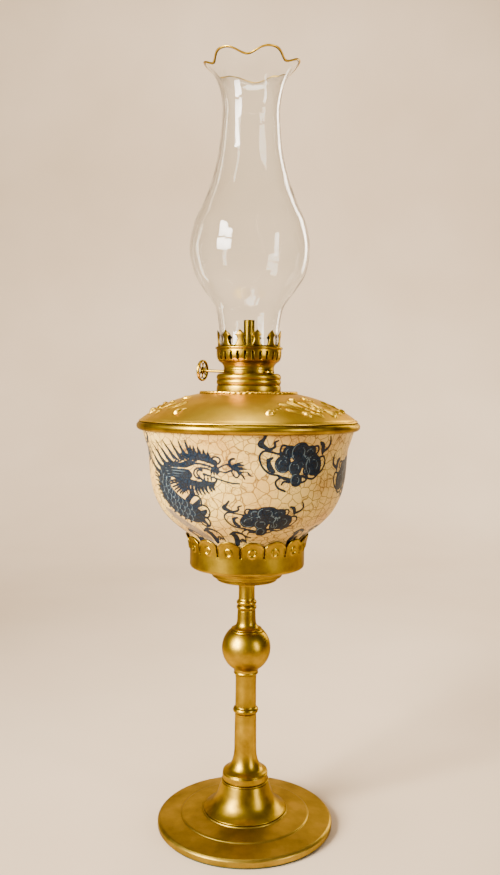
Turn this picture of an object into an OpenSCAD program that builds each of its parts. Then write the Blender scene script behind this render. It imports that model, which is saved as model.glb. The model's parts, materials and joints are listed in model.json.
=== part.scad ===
// Oil lamp on a brass candlestick stand: a porcelain bowl with a drop-in oil font,
// a round-wick burner and a glass chimney with a crimped rim.
// +Z is up, the origin is the middle of the base's underside, and the lamp's front is -Y.

/* [Base] */
// Radius of the round base plate
plate_r = 66.5; // [56:0.5:90]
// Height of the plate's outer edge
plate_edge_h = 6.2; // [5:0.1:10]
// Radius of the raised middle of the plate
plate_step_r = 48.3; // [40:0.1:52]
// Height that the plate's top gains from its edge to the pedestal
plate_rise = 5.7; // [2:0.1:8]
// Thickness of the felt under the plate
felt_t = 1.2; // [0.8:0.1:3]
// Foot radius of the bell-shaped pedestal
pedestal_r = 31.2; // [26:0.1:38]
// Height of the pedestal
pedestal_h = 22.8; // [18:0.1:40]
// Radius of the pedestal's top lip
pedestal_top_r = 18; // [14:0.1:22]
// Wall of the hollow pedestal
pedestal_wall = 2; // [1.5:0.1:3]

/* [Stem] */
// Length of the lower stem, from the pedestal to the ball
stem_lower_h = 85.4; // [70:0.1:110]
// Radius of the lower stem
stem_lower_r = 8; // [7:0.05:10]
// Radius of the ball
ball_r = 18.5; // [15:0.1:24]
// Wall of the hollow ball
ball_wall = 1.2; // [0.8:0.1:2]
// Length of the upper stem, from the ball to the bowl cup
stem_upper_h = 34.5; // [26:0.1:50]
// Radius of the upper stem
stem_upper_r = 6.1; // [5.6:0.05:8]
// Radius of the steel tie rod through the stem
rod_r = 3; // [2.5:0.1:3.5]

/* [Bowl] */
// Height of the cup under the collar
cup_h = 13.6; // [10:0.1:20]
// Radius of the cup's widest step
cup_r = 26.6; // [22:0.1:34]
// Outer radius of the scalloped collar
collar_r = 43.1; // [38:0.1:48]
// Height of the collar, to the tips of its scallops
collar_h = 25.6; // [21:0.1:32]
// Number of scallops round the collar
scallops = 16; // [12:1:24]
// Thickness of the spun brass sheet
sheet_t = 0.8; // [0.6:0.1:1.2]
// Height of the porcelain bowl
bowl_h = 105.7; // [90:0.5:125]
// Outer radius of the bowl's belly
bowl_r = 73.6; // [64:0.1:88]
// Wall of the porcelain
bowl_wall = 4; // [3:0.1:5]
// Radius of the half-round bead on the bowl's rim
rim_bead_r = 3.2; // [2.6:0.1:4]

/* [Font and lid] */
// Height that the domed lid gains from its edge to its middle
lid_rise = 22; // [12:0.1:30]
// Space between the font and the inside of the bowl
font_gap = 4.5; // [3:0.1:7]
// Outer radius of the threaded burner collar
thread_collar_r = 24.1; // [22.5:0.1:29]
// Height of the threaded burner collar
thread_collar_h = 13.6; // [12:0.1:18]
// Radius of the rope-shaped ring on the lid
rope_ring_r = 35.5; // [31:0.1:40]
// Half the thickness of the rope
rope_r = 1.3; // [1:0.1:1.8]

/* [Burner] */
// Radius of the burner's waist
waist_r = 19; // [17.5:0.1:21]
// Height of the waist, from the collar to the basket
waist_h = 7.7; // [7:0.1:10]
// Height of the slotted basket
basket_h = 11; // [10:0.1:14]
// Number of air slots in the basket
slots = 27; // [16:1:30]
// Number of prongs that hold the chimney
prongs = 12; // [8:1:16]
// Height of the prongs above the basket
prong_h = 12.7; // [10:0.1:16]
// Outer radius of the wick tube
wick_tube_r = 4.1; // [3.6:0.1:5]
// Height of the wick tube above the basket
wick_tube_rise = 21; // [16:0.5:26]
// Radius of the winder's knob
knob_r = 8.1; // [6:0.05:9.5]
// Distance from the lamp's axis to the knob's hub
knob_reach = 35.7; // [30:0.1:45]

/* [Chimney] */
// Length of the glass chimney
chimney_h = 210; // [180:1:250]
// Outer radius of the chimney's foot
chimney_foot_r = 22.2; // [21:0.1:25]
// Outer radius of the chimney's bulb
chimney_bulb_r = 44.4; // [36:0.1:55]
// Outer radius of the chimney's neck
chimney_neck_r = 21.2; // [18:0.1:25]
// Outer radius of the crimped rim
chimney_rim_r = 34; // [30:0.1:40]
// Thickness of the glass
glass_t = 1.5; // [1.2:0.1:2]
// Number of crimps round the rim
crimps = 6; // [4:1:8]

/* [Hidden] */

$fn = 96;
slack = 0.3;         // between pieces that slide past or into each other
turn_fit = 0.06;     // radial play of a turning shaft
over = 1;            // how far a cutting shape passes the face that it cuts

// Levels, from the table upwards
plate_step_h = 0.7;
plate_step_z = felt_t + plate_edge_h + 0.4 * (plate_rise - plate_step_h);
seat_z = felt_t + plate_edge_h + plate_rise;
pedestal_top_z = seat_z + pedestal_h;
ball_neck_r = stem_lower_r + 1.8;
ball_cap_r = stem_upper_r + 5.4;
ball_seat_drop = sqrt(pow(ball_r, 2) - pow(ball_neck_r, 2));
ball_cap_rise = sqrt(pow(ball_r, 2) - pow(ball_cap_r, 2));
ball_z = pedestal_top_z + stem_lower_h + ball_seat_drop;
stem_upper_z = ball_z + ball_cap_rise;
cup_z = stem_upper_z + stem_upper_h;
collar_z = cup_z + cup_h;
cushion_t = 1.5;
cushion_z = collar_z + sheet_t;
bowl_z = cushion_z + cushion_t;
bowl_top_z = bowl_z + bowl_h;

// Fasteners of the tie rod
rod_hole_r = rod_r + 0.3;
nut_r = 5.77;
nut_h = 5;
washer_t = 1.2;
washer_r = nut_r + 3;
nut_recess_r = washer_r + 1;
nut_recess_h = nut_h + washer_t + 0.4;
bowl_floor_h = 8.5;
bowl_floor_z = bowl_z + bowl_floor_h;
gasket_t = 1.5;
nut_top_z = bowl_floor_z + gasket_t + washer_t + nut_h;

// Bowl rim and lid
lip_r = bowl_r + 5.8;
lip_in_r = lip_r - bowl_wall;
rim_flange_z = bowl_top_z + 0.1;
rim_top_z = rim_flange_z + sheet_t;
rim_bead_z = rim_top_z + 0.2 - rim_bead_r;
rim_leg_r = lip_in_r - 0.1;
lid_edge_r = lip_r + 2;
lid_edge_z = rim_top_z + 0.2;
lid_edge_h = 0.6;
lid_power = 2.9;      // how late the lid's dome turns down
lid_land_r = thread_collar_r + 0.5;
lid_land_z = lid_z(lid_land_r);

// Burner
collar_top_z = lid_land_z + thread_collar_h;
recess_h = 2.2;
flange_r = waist_r + 0.3;
flange_z = collar_top_z - recess_h + 1;
spigot_r = waist_r - 1.35;
spigot_h = 10.5;
spigot_floor_z = collar_top_z - 4;
thread_bore_r = spigot_r + slack + 0.05;
neck_wall = 1;

// Levels and radii that the font's two halves share
font_neck_r = thread_bore_r + neck_wall;
font_body_r = bowl_r - bowl_wall - font_gap + 1;
font_seam_z = bowl_top_z - 4.5;
font_neck_z = lid_land_z - 7;

// Basket and winder
basket_z = collar_top_z + waist_h;
basket_bottom_r = waist_r + 1.6;
basket_top_r = waist_r + 5.2;
bead_z = basket_z + basket_h;
crown_r = chimney_foot_r + slack + 0.2;
crown_t = 0.7;
screen_t = 0.6;
screen_z = bead_z - 1.9;
chimney_z = screen_z + screen_t + slack;
wick_tube_top_z = bead_z + wick_tube_rise;
wick_tube_z = spigot_floor_z - 14;
wick_r = wick_tube_r - 0.85;
wick_top_z = wick_tube_top_z - 1;

// Winder: the spindle leaves the left side, turned a little to the back and tilted up
winder_turn = 154;
winder_tilt = 2.8;
spindle_r = 1.05;
wheel_r = 3.2;
wheel_teeth = 12;
wheel_offset = wick_r + slack + wheel_r;
spindle_z = collar_top_z + spindle_r + 0.35 - waist_r * tan(winder_tilt);
bush_r = spindle_r + 0.3;
bracket_s = -4;

function mix(a, b, t) = a + (b - a) * t;

// Height of the lid's outside at radius r: nearly flat in the middle, steep at the edge
function lid_z(r) = lid_edge_z + lid_edge_h + lid_rise * (1 - pow(r / lid_edge_r, lid_power));
function lid_slope(r) = atan(lid_rise * lid_power / lid_edge_r * pow(r / lid_edge_r, lid_power - 1));

// One stretch of a smooth curve through p1 and p2, led by its neighbours p0 and p3
function stretch(p0, p1, p2, p3, t) = 0.5 * (2 * p1 + (p2 - p0) * t
    + (2 * p0 - 5 * p1 + 4 * p2 - p3) * t * t + (3 * p1 - p0 - 3 * p2 + p3) * t * t * t);

// A smooth curve through all the stations, with n points in each stretch
function smooth(p, n) = let (last = len(p) - 1)
    [for (i = [0:last - 1]) for (k = [0:n - 1])
        stretch(p[max(i - 1, 0)], p[i], p[i + 1], p[min(i + 2, last)], k / n), p[last]];

function reversed(p) = [for (i = [len(p) - 1:-1:0]) p[i]];
function shifted(p, dr, dz) = [for (q = p) [q[0] + dr, q[1] + dz]];

// A trumpet from radius r0 at height z0 to r1 at z1, nearly straight at its z0 end
function trumpet(r0, z0, r1, z1, power, n) =
    [for (k = [0:n]) [mix(r0, r1, pow(k / n, power)), mix(z0, z1, k / n)]];

// A quarter round from angle a0 to a1 about [r, z]
function arc(r, z, radius, a0, a1, n) =
    [for (k = [0:n]) let (a = mix(a0, a1, k / n)) [r + radius * cos(a), z + radius * sin(a)]];

module lathe(points) rotate_extrude() polygon(points);

module ring(r_out, r_in, z, h) translate([0, 0, z]) difference() {
    cylinder(r = r_out, h = h);
    translate([0, 0, -over]) cylinder(r = r_in, h = h + 2 * over);
}

module hex_nut(z) translate([0, 0, z]) difference() {
    cylinder(r = nut_r, h = nut_h, $fn = 6);
    translate([0, 0, -over]) cylinder(r = rod_r, h = nut_h + 2 * over);
}

// Puts its children on the winder's axis: +Z runs outwards along the spindle
module on_spindle(s = 0) rotate([0, 0, winder_turn])
    translate([0, wheel_offset, spindle_z]) rotate([0, 90 - winder_tilt, 0])
        translate([0, 0, s]) children();

// ---- Stand ----

module base_felt() color("saddlebrown") cylinder(r = plate_r - 2, h = felt_t);

module base_plate() color("goldenrod") difference() {
    edge_z = felt_t + plate_edge_h;
    chamfer = 0.6;
    round_r = 1.4;
    lathe(concat([[rod_hole_r, felt_t], [plate_r - chamfer, felt_t], [plate_r, felt_t + chamfer]],
        arc(plate_r - round_r, edge_z - round_r, round_r, 0, 90, 5),
        [[plate_step_r + 0.5, plate_step_z], [plate_step_r, plate_step_z + plate_step_h],
         [pedestal_r, seat_z], [rod_hole_r, seat_z]]));
    translate([0, 0, felt_t - over]) cylinder(r = nut_recess_r, h = nut_recess_h + over);
}

module base_washer() color("silver")
    ring(washer_r, rod_r, felt_t + nut_recess_h - washer_t, washer_t);

module base_nut() color("silver") hex_nut(felt_t + nut_recess_h - washer_t - nut_h);

module tie_rod() color("silver") {
    bottom_z = felt_t + 0.2;
    translate([0, 0, bottom_z]) cylinder(r = rod_r, h = nut_top_z + 2 - bottom_z);
}

// A bell: a foot ring, a concave flare and a top lip, open underneath
module pedestal() color("goldenrod") {
    foot_h = 1;
    lip_h = 1.2;
    neck_r = pedestal_top_r - 0.8;
    roof_t = 3;
    bell_z = pedestal_top_z - lip_h;
    bell = trumpet(neck_r, bell_z, pedestal_r - 1, seat_z + foot_h, 2.1, 14);
    hollow = trumpet(neck_r - pedestal_wall, pedestal_top_z - roof_t, pedestal_r - 1 - pedestal_wall,
        seat_z, 2.1, 10);
    lathe(concat([[rod_hole_r, pedestal_top_z], [rod_hole_r, pedestal_top_z - roof_t]], hollow,
        [[pedestal_r, seat_z], [pedestal_r, seat_z + foot_h]], reversed(bell),
        [[pedestal_top_r, bell_z + 0.2], [pedestal_top_r, pedestal_top_z - 0.2],
         [pedestal_top_r - 0.2, pedestal_top_z]]));
}

// A bead round a stem: a half-round of radius b standing out to r_bead
function bead(r_bead, z, b, n) = arc(r_bead - b, z, b, -65, 65, n);

module stem_lower() color("goldenrod") difference() {
    band_r = pedestal_top_r - 0.8;
    band_h = 5.2;
    foot_r = stem_lower_r + 0.4;
    flare_h = 16;
    flare_z = pedestal_top_z + band_h + 1;
    bead_h = 53.2;
    top_z = pedestal_top_z + stem_lower_h;
    lathe(concat([[rod_hole_r, pedestal_top_z], [band_r, pedestal_top_z],
            [band_r, pedestal_top_z + band_h], [band_r - 0.5, pedestal_top_z + band_h + 0.3],
            [band_r - 0.5, flare_z]],
        reversed(trumpet(foot_r, flare_z + flare_h, band_r - 0.6, flare_z, 2.2, 10)),
        bead(stem_lower_r + 1.45, pedestal_top_z + bead_h, 4.2, 8),
        [[stem_lower_r - 0.1, top_z - 6], [stem_lower_r + 0.4, top_z - 5.5],
         [ball_neck_r, top_z], [ball_neck_r - 0.1, top_z + 0.1], [rod_hole_r, top_z + 0.1]]));
    translate([0, 0, ball_z]) sphere(r = ball_r);
}

module ball_knop() color("goldenrod") translate([0, 0, ball_z]) difference() {
    sphere(r = ball_r);
    sphere(r = ball_r - ball_wall);
    translate([0, 0, -ball_r - over]) cylinder(r = rod_hole_r, h = 2 * (ball_r + over));
}

module stem_upper() color("goldenrod") difference() {
    trumpet_h = 5;
    shoulder_r = stem_upper_r + 1.1;
    bead_z = cup_z - 16;
    bead_gap = 1.85;
    lathe(concat([[rod_hole_r, stem_upper_z - 0.1], [ball_cap_r - 0.1, stem_upper_z - 0.1],
            [ball_cap_r, stem_upper_z]],
        reversed(trumpet(shoulder_r, stem_upper_z + trumpet_h, ball_cap_r, stem_upper_z + 0.4, 2, 6)),
        [[stem_upper_r + 0.7, bead_z - bead_gap - 2.2]],
        bead(stem_upper_r + 1.5, bead_z - bead_gap, 1.9, 5),
        bead(stem_upper_r + 1.5, bead_z + bead_gap, 1.9, 5),
        [[stem_upper_r, cup_z], [rod_hole_r, cup_z]]));
    translate([0, 0, ball_z]) sphere(r = ball_r);
}

// A stepped, hollow cup that carries the collar
module bowl_cup() color("goldenrod") {
    step_r = cup_r - 3.6;
    brim_r = cup_r + 3.4;
    floor_t = 1.6;
    side_h = cup_h - 6.2;
    lathe([[rod_hole_r, cup_z], [stem_upper_r + 2.4, cup_z], [stem_upper_r + 2.4, cup_z + 1],
        [step_r - 2, cup_z + 2.6], [step_r, cup_z + 3.4], [step_r, cup_z + 5.4],
        [cup_r - 0.6, cup_z + 6.2], [cup_r, cup_z + 6.8], [cup_r, cup_z + 8.4],
        [brim_r, collar_z - 0.8], [brim_r, collar_z], [brim_r - 3, collar_z],
        [cup_r - 2, cup_z + 9.4], [step_r - 2, cup_z + 5.8], [rod_hole_r, cup_z + 1 + floor_t]]);
}

// The outline of the notch between two scallops, with the slit below it: x across, y up
function notch_outline(half_pitch, depth, slit_w, slit_z, top_z) =
    let (arc_r = (pow(half_pitch, 2) + pow(depth, 2)) / (2 * depth), n = 6,
        side = [for (k = [0:n]) let (x = mix(slit_w / 2, 0.97 * half_pitch, k / n))
            [x, top_z - arc_r + sqrt(pow(arc_r, 2) - pow(half_pitch - x, 2))]])
    concat([[-slit_w / 2, slit_z], [slit_w / 2, slit_z]], side,
        [[0.97 * half_pitch, top_z + over], [-0.97 * half_pitch, top_z + over]],
        reversed([for (q = side) [-q[0], q[1]]]));

// A spun cup whose flared edge is cut into scallops, with a keyhole slit between each two
module bowl_collar() color("goldenrod") {
    corner_r = 2;
    wall_h = 13;
    flare = 3;
    notch_h = 4.8;
    slit_w = 0.8;
    slit_z = collar_z + 14.4;
    boss_r = 2.7;
    boss_z = collar_z + 17;
    top_z = collar_z + collar_h;
    start_r = collar_r - 6;
    pitch = 360 / scallops;
    first = 0.213 * pitch;
    outer = concat(arc(collar_r - corner_r, collar_z + corner_r, corner_r, -90, 0, 5),
        trumpet(collar_r, collar_z + wall_h, collar_r + flare, top_z, 1.7, 6));
    difference() {
        lathe(concat([[rod_hole_r, collar_z]], outer, reversed([for (q = shifted(outer, -sheet_t, 0))
            if (q[1] > collar_z + sheet_t) q]), [[collar_r - sheet_t - 1.2, collar_z + sheet_t],
            [rod_hole_r, collar_z + sheet_t]]));
        for (i = [0:scallops - 1]) rotate([0, 0, first + pitch * (i + 0.5)]) translate([0, -start_r, 0]) {
            rotate([90, 0, 0]) linear_extrude(16) polygon(notch_outline(
                (collar_r + 0.7 * flare) * sin(pitch / 2), notch_h, slit_w, slit_z, top_z));
            translate([0, 0, slit_z]) rotate([90, 0, 0]) cylinder(r = 1, h = 16, $fn = 24);
        }
    }
    for (i = [0:scallops - 1]) rotate([0, 0, first + pitch * i]) translate([0, -collar_r, boss_z])
        rotate([90, 0, 0]) cylinder(r = boss_r, h = 0.9, $fn = 32);
}

module bowl_cushion() color("tan") ring(collar_r - 4, rod_hole_r + 8, cushion_z, cushion_t);

// Where the bowl's flank leaves the scalloped collar, just above and inside its tips
bowl_leave_r = collar_r + 2.9;
bowl_leave_z = collar_z + collar_h + 1.2;

// Outer radius of the bowl at a share of its height, from the foot ring to the lip
function bowl_outer() = let (foot_r = collar_r - 3.6) smooth([
    [foot_r, bowl_z], [foot_r, bowl_z + 0.095 * bowl_h], [bowl_leave_r, bowl_leave_z],
    [mix(foot_r, bowl_r, 0.62), bowl_z + 0.345 * bowl_h], [mix(foot_r, bowl_r, 0.865), bowl_z + 0.47 * bowl_h],
    [mix(foot_r, bowl_r, 0.975), bowl_z + 0.61 * bowl_h], [bowl_r, bowl_z + 0.75 * bowl_h],
    [bowl_r + 1.7, bowl_z + 0.845 * bowl_h], [lip_r - 0.2, bowl_top_z - 3.4], [lip_r, bowl_top_z - 0.5]], 5);

function bowl_inner() = let (foot_r = collar_r - 3.6) smooth([
    [foot_r - 12, bowl_floor_z], [foot_r - 5, bowl_floor_z + 3.5],
    [bowl_leave_r - bowl_wall - 1, bowl_leave_z + 1.9],
    [mix(collar_r, bowl_r, 0.52) - bowl_wall, bowl_z + 0.345 * bowl_h],
    [mix(collar_r, bowl_r, 0.845) - bowl_wall, bowl_z + 0.47 * bowl_h],
    [mix(collar_r, bowl_r, 0.975) - bowl_wall, bowl_z + 0.61 * bowl_h],
    [bowl_r - bowl_wall, bowl_z + 0.75 * bowl_h], [bowl_r + 1.7 - bowl_wall, bowl_z + 0.845 * bowl_h],
    [lip_in_r, bowl_top_z - 3.4]], 4);

module porcelain_bowl() color("wheat") {
    ring_t = 5;
    foot_recess = 4;
    foot_r = collar_r - 3.6;
    lathe(concat([[rod_hole_r, bowl_z + foot_recess], [foot_r - ring_t, bowl_z + foot_recess],
        [foot_r - ring_t, bowl_z]], bowl_outer(),
        [[lip_r - 0.5, bowl_top_z], [lip_in_r, bowl_top_z]], reversed(bowl_inner()),
        [[rod_hole_r, bowl_floor_z]]));
}

module bowl_gasket() color("dimgray") ring(washer_r + 2, rod_r, bowl_floor_z, gasket_t);

module bowl_washer() color("goldenrod") ring(washer_r, rod_r, bowl_floor_z + gasket_t, washer_t);

module bowl_nut() color("goldenrod") hex_nut(bowl_floor_z + gasket_t + washer_t);

// A brass binding on the bowl's lip: a half-round bead outside, a flange on top, a leg inside
module bowl_rim() color("goldenrod") {
    leg_h = 4;
    difference() {
        union() {
            rotate_extrude() translate([lip_r + 0.6, rim_bead_z]) circle(r = rim_bead_r);
            ring(lip_r + 0.6, rim_leg_r - sheet_t, rim_flange_z, sheet_t);
        }
        translate([0, 0, rim_bead_z - 2 * rim_bead_r])
            cylinder(r = lip_r + 0.2, h = rim_flange_z - rim_bead_z + 2 * rim_bead_r);
        translate([0, 0, rim_top_z]) cylinder(r = lip_r + 2 * rim_bead_r, h = 2 * rim_bead_r);
    }
    ring(rim_leg_r, rim_leg_r - sheet_t, rim_top_z - leg_h, leg_h - sheet_t);
}

// ---- Font and lid ----

// The font's lower half: a spun cup that hangs free in the bowl
module font_cup() color("darkgoldenrod") {
    floor_z = nut_top_z + 8;
    floor_r = collar_r - 12;
    low_z = bowl_z + 0.345 * bowl_h + 3;
    low_r = mix(collar_r, bowl_r, 0.52) - bowl_wall - font_gap;
    belly_z = bowl_z + 0.56 * bowl_h;
    side = smooth([[floor_r, floor_z], [low_r, low_z], [font_body_r - 4, belly_z],
        [font_body_r, font_seam_z - 12], [font_body_r, font_seam_z]], 5);
    inside = [for (q = shifted(side, -sheet_t, 0.5 * sheet_t)) if (q[1] < font_seam_z - 0.5) q];
    lathe(concat([[0, floor_z]], side, [[font_body_r - sheet_t, font_seam_z]], reversed(inside),
        [[0, floor_z + sheet_t]]));
}

// The font's upper half: a shoulder whose lip rests on the cup's edge and whose skirt fits inside it
module font_shoulder() color("darkgoldenrod") {
    skirt_h = 5;
    skirt_r = font_body_r - sheet_t - slack;
    lip_h = 0.8;
    roof = smooth([[font_body_r - 1, font_seam_z + lip_h], [font_body_r - 3, font_seam_z + 2.4],
        [mix(font_neck_r, font_body_r, 0.5), mix(font_seam_z, font_neck_z, 0.62)],
        [font_neck_r, font_neck_z]], 4);
    under = [for (q = shifted(roof, -0.5 * sheet_t, -1.2 * sheet_t)) if (q[0] < skirt_r - 1.4 * sheet_t) q];
    lathe(concat([[skirt_r, font_seam_z - skirt_h], [skirt_r, font_seam_z], [font_body_r, font_seam_z],
            [font_body_r, font_seam_z + lip_h]],
        roof, [[font_neck_r, lid_land_z], [thread_bore_r, lid_land_z], [thread_bore_r, font_neck_z - sheet_t]],
        reversed(under), [[skirt_r - sheet_t, font_seam_z], [skirt_r - sheet_t, font_seam_z - skirt_h]]));
}

// The lid's outside, from its edge up to the flat land for the burner collar
lid_outside = [for (k = [0:12]) let (r = mix(lid_edge_r, lid_land_r, pow(k / 12, 1.5))) [r, lid_z(r)]];

// A domed lid with a ring underneath that fits inside the bowl's rim
module lid() color("gold") {
    hem_r = rim_leg_r - sheet_t - slack;
    hem_z = rim_top_z - 3.8;
    lathe(concat([[lid_edge_r - 2, lid_edge_z], [lid_edge_r, lid_edge_z]], lid_outside,
        [[font_neck_r, lid_land_z], [font_neck_r, lid_land_z - sheet_t], [lid_land_r, lid_land_z - sheet_t]],
        reversed([for (q = shifted(lid_outside, -0.4, -sheet_t)) if (q[1] > lid_edge_z + 0.5) q])));
    ring(hem_r, hem_r - sheet_t, hem_z, lid_z(hem_r) - 0.5 * sheet_t - hem_z);
}

// Puts its children on the lid at bearing a and radius r, with +Z square to the surface
module on_lid(a, r) rotate([0, 0, a]) translate([r, 0, lid_z(r)]) rotate([0, lid_slope(r), 0]) children();

// Raised sprays of blossom and berries round the lid
module lid_relief() color("gold") difference() {
    sprays = 4;
    petals = 6;
    first_bearing = -42;
    flower_r = 59;
    petal_reach = 5;
    berry_turns = [-24, -18, 18, 25];
    for (i = [0:sprays - 1]) {
        bearing = first_bearing + 360 / sprays * i;
        on_lid(bearing, flower_r) sphere(r = 2.4, $fn = 32);
        for (k = [0:petals - 1]) on_lid(bearing + petal_reach * sin(60 * k), flower_r + petal_reach * cos(60 * k))
            sphere(r = 2, $fn = 32);
        for (b = berry_turns) on_lid(bearing + b, flower_r - 4 + 0.2 * abs(b)) sphere(r = 1.6, $fn = 32);
    }
    lathe(concat([[0, lid_edge_z], [lid_edge_r, lid_edge_z]], lid_outside, [[0, lid_land_z]]));
}

module rope_ring() color("gold") difference() {
    rotate_extrude() translate([rope_ring_r, lid_z(rope_ring_r) + 0.6 * rope_r]) circle(r = rope_r, $fn = 32);
    lathe(concat([[0, lid_edge_z], [lid_edge_r, lid_edge_z]], lid_outside, [[0, lid_land_z]]));
}

// A rolled collar with two soft swellings, bored for the burner and sunk for its flange
module burner_collar() color("goldenrod") difference() {
    round_r = 1.8;
    swell = 0.5;
    base_r = thread_collar_r - swell;
    swellings = 2;
    side = [for (k = [0:16]) let (t = k / 16)
        [base_r + swell * sin(180 * swellings * t) * sin(180 * swellings * t),
         lid_land_z + t * (thread_collar_h - round_r)]];
    lathe(concat([[thread_bore_r, lid_land_z]], side,
        arc(base_r - round_r, collar_top_z - round_r, round_r, 0, 90, 5),
        [[thread_bore_r, collar_top_z]]));
    translate([0, 0, collar_top_z - recess_h]) cylinder(r = flange_r + slack, h = recess_h + over);
}

// ---- Burner ----

module burner_gasket() color("dimgray")
    ring(flange_r - 0.1, spigot_r + 0.2, collar_top_z - recess_h + 0.2, 0.6);

// A threaded cup, open below, whose floor carries the wick tube
module burner_spigot() color("goldenrod") {
    wall = 1;
    lathe([[wick_tube_r, spigot_floor_z - 0.8], [spigot_r - wall, spigot_floor_z - 0.8],
        [spigot_r - wall, flange_z - spigot_h], [spigot_r, flange_z - spigot_h],
        [spigot_r, flange_z + sheet_t], [spigot_r - wall, flange_z + sheet_t],
        [spigot_r - wall, spigot_floor_z], [wick_tube_r, spigot_floor_z]]);
}

module burner_body() color("goldenrod") difference() {
    curve = smooth([[waist_r, basket_z - 3.4], [waist_r + 0.4, basket_z - 1.6], [basket_bottom_r, basket_z]], 4);
    lathe(concat([[spigot_r, flange_z], [flange_r, flange_z], [flange_r, flange_z + sheet_t],
        [waist_r, flange_z + sheet_t + 0.3]], curve, reversed(shifted(curve, -sheet_t, 0)),
        [[waist_r - sheet_t, flange_z + sheet_t], [spigot_r, flange_z + sheet_t]]));
    on_spindle(0) cylinder(r = bush_r, h = 2 * waist_r, $fn = 32);
}

// A turning tab that stands out of the waist at the front right
module burner_lug() color("goldenrod") difference() {
    tab_w = 7;
    tab_r = waist_r + 5;
    rotate([0, 0, -42]) translate([0, 0, collar_top_z + 0.4]) {
        translate([tab_r - tab_w / 2, 0, 0]) cylinder(r = tab_w / 2, h = 1);
        translate([waist_r - 2, -tab_w / 2, 0]) cube([tab_r - waist_r + 2 - tab_w / 2, tab_w, 1]);
    }
    translate([0, 0, collar_top_z]) cylinder(r = waist_r, h = 3);
}

// An arrow-headed prong, drawn across and up from the middle of its foot
prong_outline = let (w = 2 * PI * crown_r / prongs) [
    [-0.5 * w, -2], [-0.5 * w, 0.4], [-0.30 * w, 0.12 * prong_h], [-0.17 * w, 0.32 * prong_h],
    [-0.16 * w, 0.5 * prong_h], [-0.27 * w, 0.68 * prong_h], [0, prong_h],
    [0.27 * w, 0.68 * prong_h], [0.16 * w, 0.5 * prong_h], [0.17 * w, 0.32 * prong_h],
    [0.30 * w, 0.12 * prong_h], [0.5 * w, 0.4], [0.5 * w, -2]];

// An upright slot with round ends, drawn across and up from the middle of its lower end
function slot_outline(w, h) = concat(arc(0, 0, w / 2, -180, 0, 8), arc(0, h, w / 2, 0, 180, 8));

// A basket with upright air slots, a bead and a crown of prongs
module gallery() color("goldenrod") {
    slot_w = 2.2;
    slot_z = basket_z + 2.7;
    slot_h = basket_h - 6;
    start_r = waist_r - 2;
    bead_r = 0.95;
    side = smooth([[basket_bottom_r, basket_z], [basket_bottom_r + 1.9, basket_z + 1.3],
        [basket_top_r - 0.9, basket_z + 0.4 * basket_h], [basket_top_r, bead_z - bead_r]], 3);
    difference() {
        lathe(concat(side, arc(basket_top_r, bead_z, bead_r, -90, 90, 8),
            [[crown_r, bead_z + bead_r], [crown_r, bead_z - bead_r]], reversed(shifted(side, -sheet_t, 0))));
        for (i = [0:slots - 1]) rotate([0, 0, 360 / slots * (i + 0.5)]) translate([0, -start_r, slot_z])
            rotate([90, 0, 0]) linear_extrude(12) polygon(slot_outline(slot_w, slot_h));
    }
    intersection() {
        lathe([[crown_r, bead_z - bead_r], [crown_r + crown_t, bead_z - bead_r], [crown_r + crown_t, bead_z + 1],
            [crown_r + crown_t + 0.5, bead_z + prong_h + 1], [crown_r + 0.5, bead_z + prong_h + 1]]);
        for (i = [0:prongs - 1]) rotate([0, 0, 360 / prongs * (i + 0.5)]) translate([0, -start_r, bead_z])
            rotate([90, 0, 0]) linear_extrude(12) polygon(prong_outline);
    }
}

// A perforated disc that spreads the air and carries the chimney
module air_screen() color("goldenrod") difference() {
    hole_r = 0.9;
    ring_step = 4;
    rings = 3;
    ring(basket_top_r - crown_t - 0.25, wick_tube_r, screen_z, screen_t);
    for (j = [1:rings]) for (i = [0:6 * (j + 1) - 1])
        rotate([0, 0, 60 / (j + 1) * i]) translate([4 + ring_step * j, 0, screen_z - over])
            cylinder(r = hole_r, h = screen_t + 2 * over, $fn = 16);
}

module wick_tube() color("goldenrod") difference() {
    wall = 0.6;
    ring(wick_tube_r, wick_tube_r - wall, wick_tube_z, wick_tube_top_z - wick_tube_z);
    rotate([0, 0, winder_turn]) translate([-1, 0, spindle_z - 3.2]) cube([2, 2 * wick_tube_r, 6.4]);
}

module spindle_bush() color("goldenrod") intersection() {
    on_spindle(0) difference() {
        cylinder(r = bush_r, h = 2 * waist_r, $fn = 32);
        translate([0, 0, -over]) cylinder(r = spindle_r + turn_fit, h = 2 * waist_r + 2 * over, $fn = 32);
    }
    ring(waist_r, waist_r - 2.4, collar_top_z - 2, 6);
}

// A small upright plate on the burner's floor that carries the spindle's inner end
module spindle_bracket() color("goldenrod") difference() {
    plate_w = 4.4;
    plate_t = 1;
    rotate([0, 0, winder_turn]) translate([bracket_s - plate_t / 2, wheel_offset - plate_w / 2, spigot_floor_z])
        cube([plate_t, plate_w, spindle_z + 2.2 - spigot_floor_z]);
    on_spindle(bracket_s - 3) cylinder(r = spindle_r + turn_fit, h = 6, $fn = 32);
}

// ---- Winder and wick ----

module spindle() color("gold") on_spindle(bracket_s - 1.5)
    cylinder(r = spindle_r, h = knob_reach + 1 - bracket_s + 1.5, $fn = 32);

// A toothed wheel that bites on the wick through a window in the tube
module spur_wheel() color("goldenrod") difference() {
    wheel_t = 1.2;
    tooth_h = 0.7;
    on_spindle(-wheel_t / 2) linear_extrude(wheel_t) polygon([for (k = [0:2 * wheel_teeth - 1])
        (wheel_r - (k % 2) * tooth_h) * [cos(180 / wheel_teeth * k), sin(180 / wheel_teeth * k)]]);
    on_spindle(-wheel_t) cylinder(r = spindle_r, h = 2 * wheel_t, $fn = 32);
}

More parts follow.
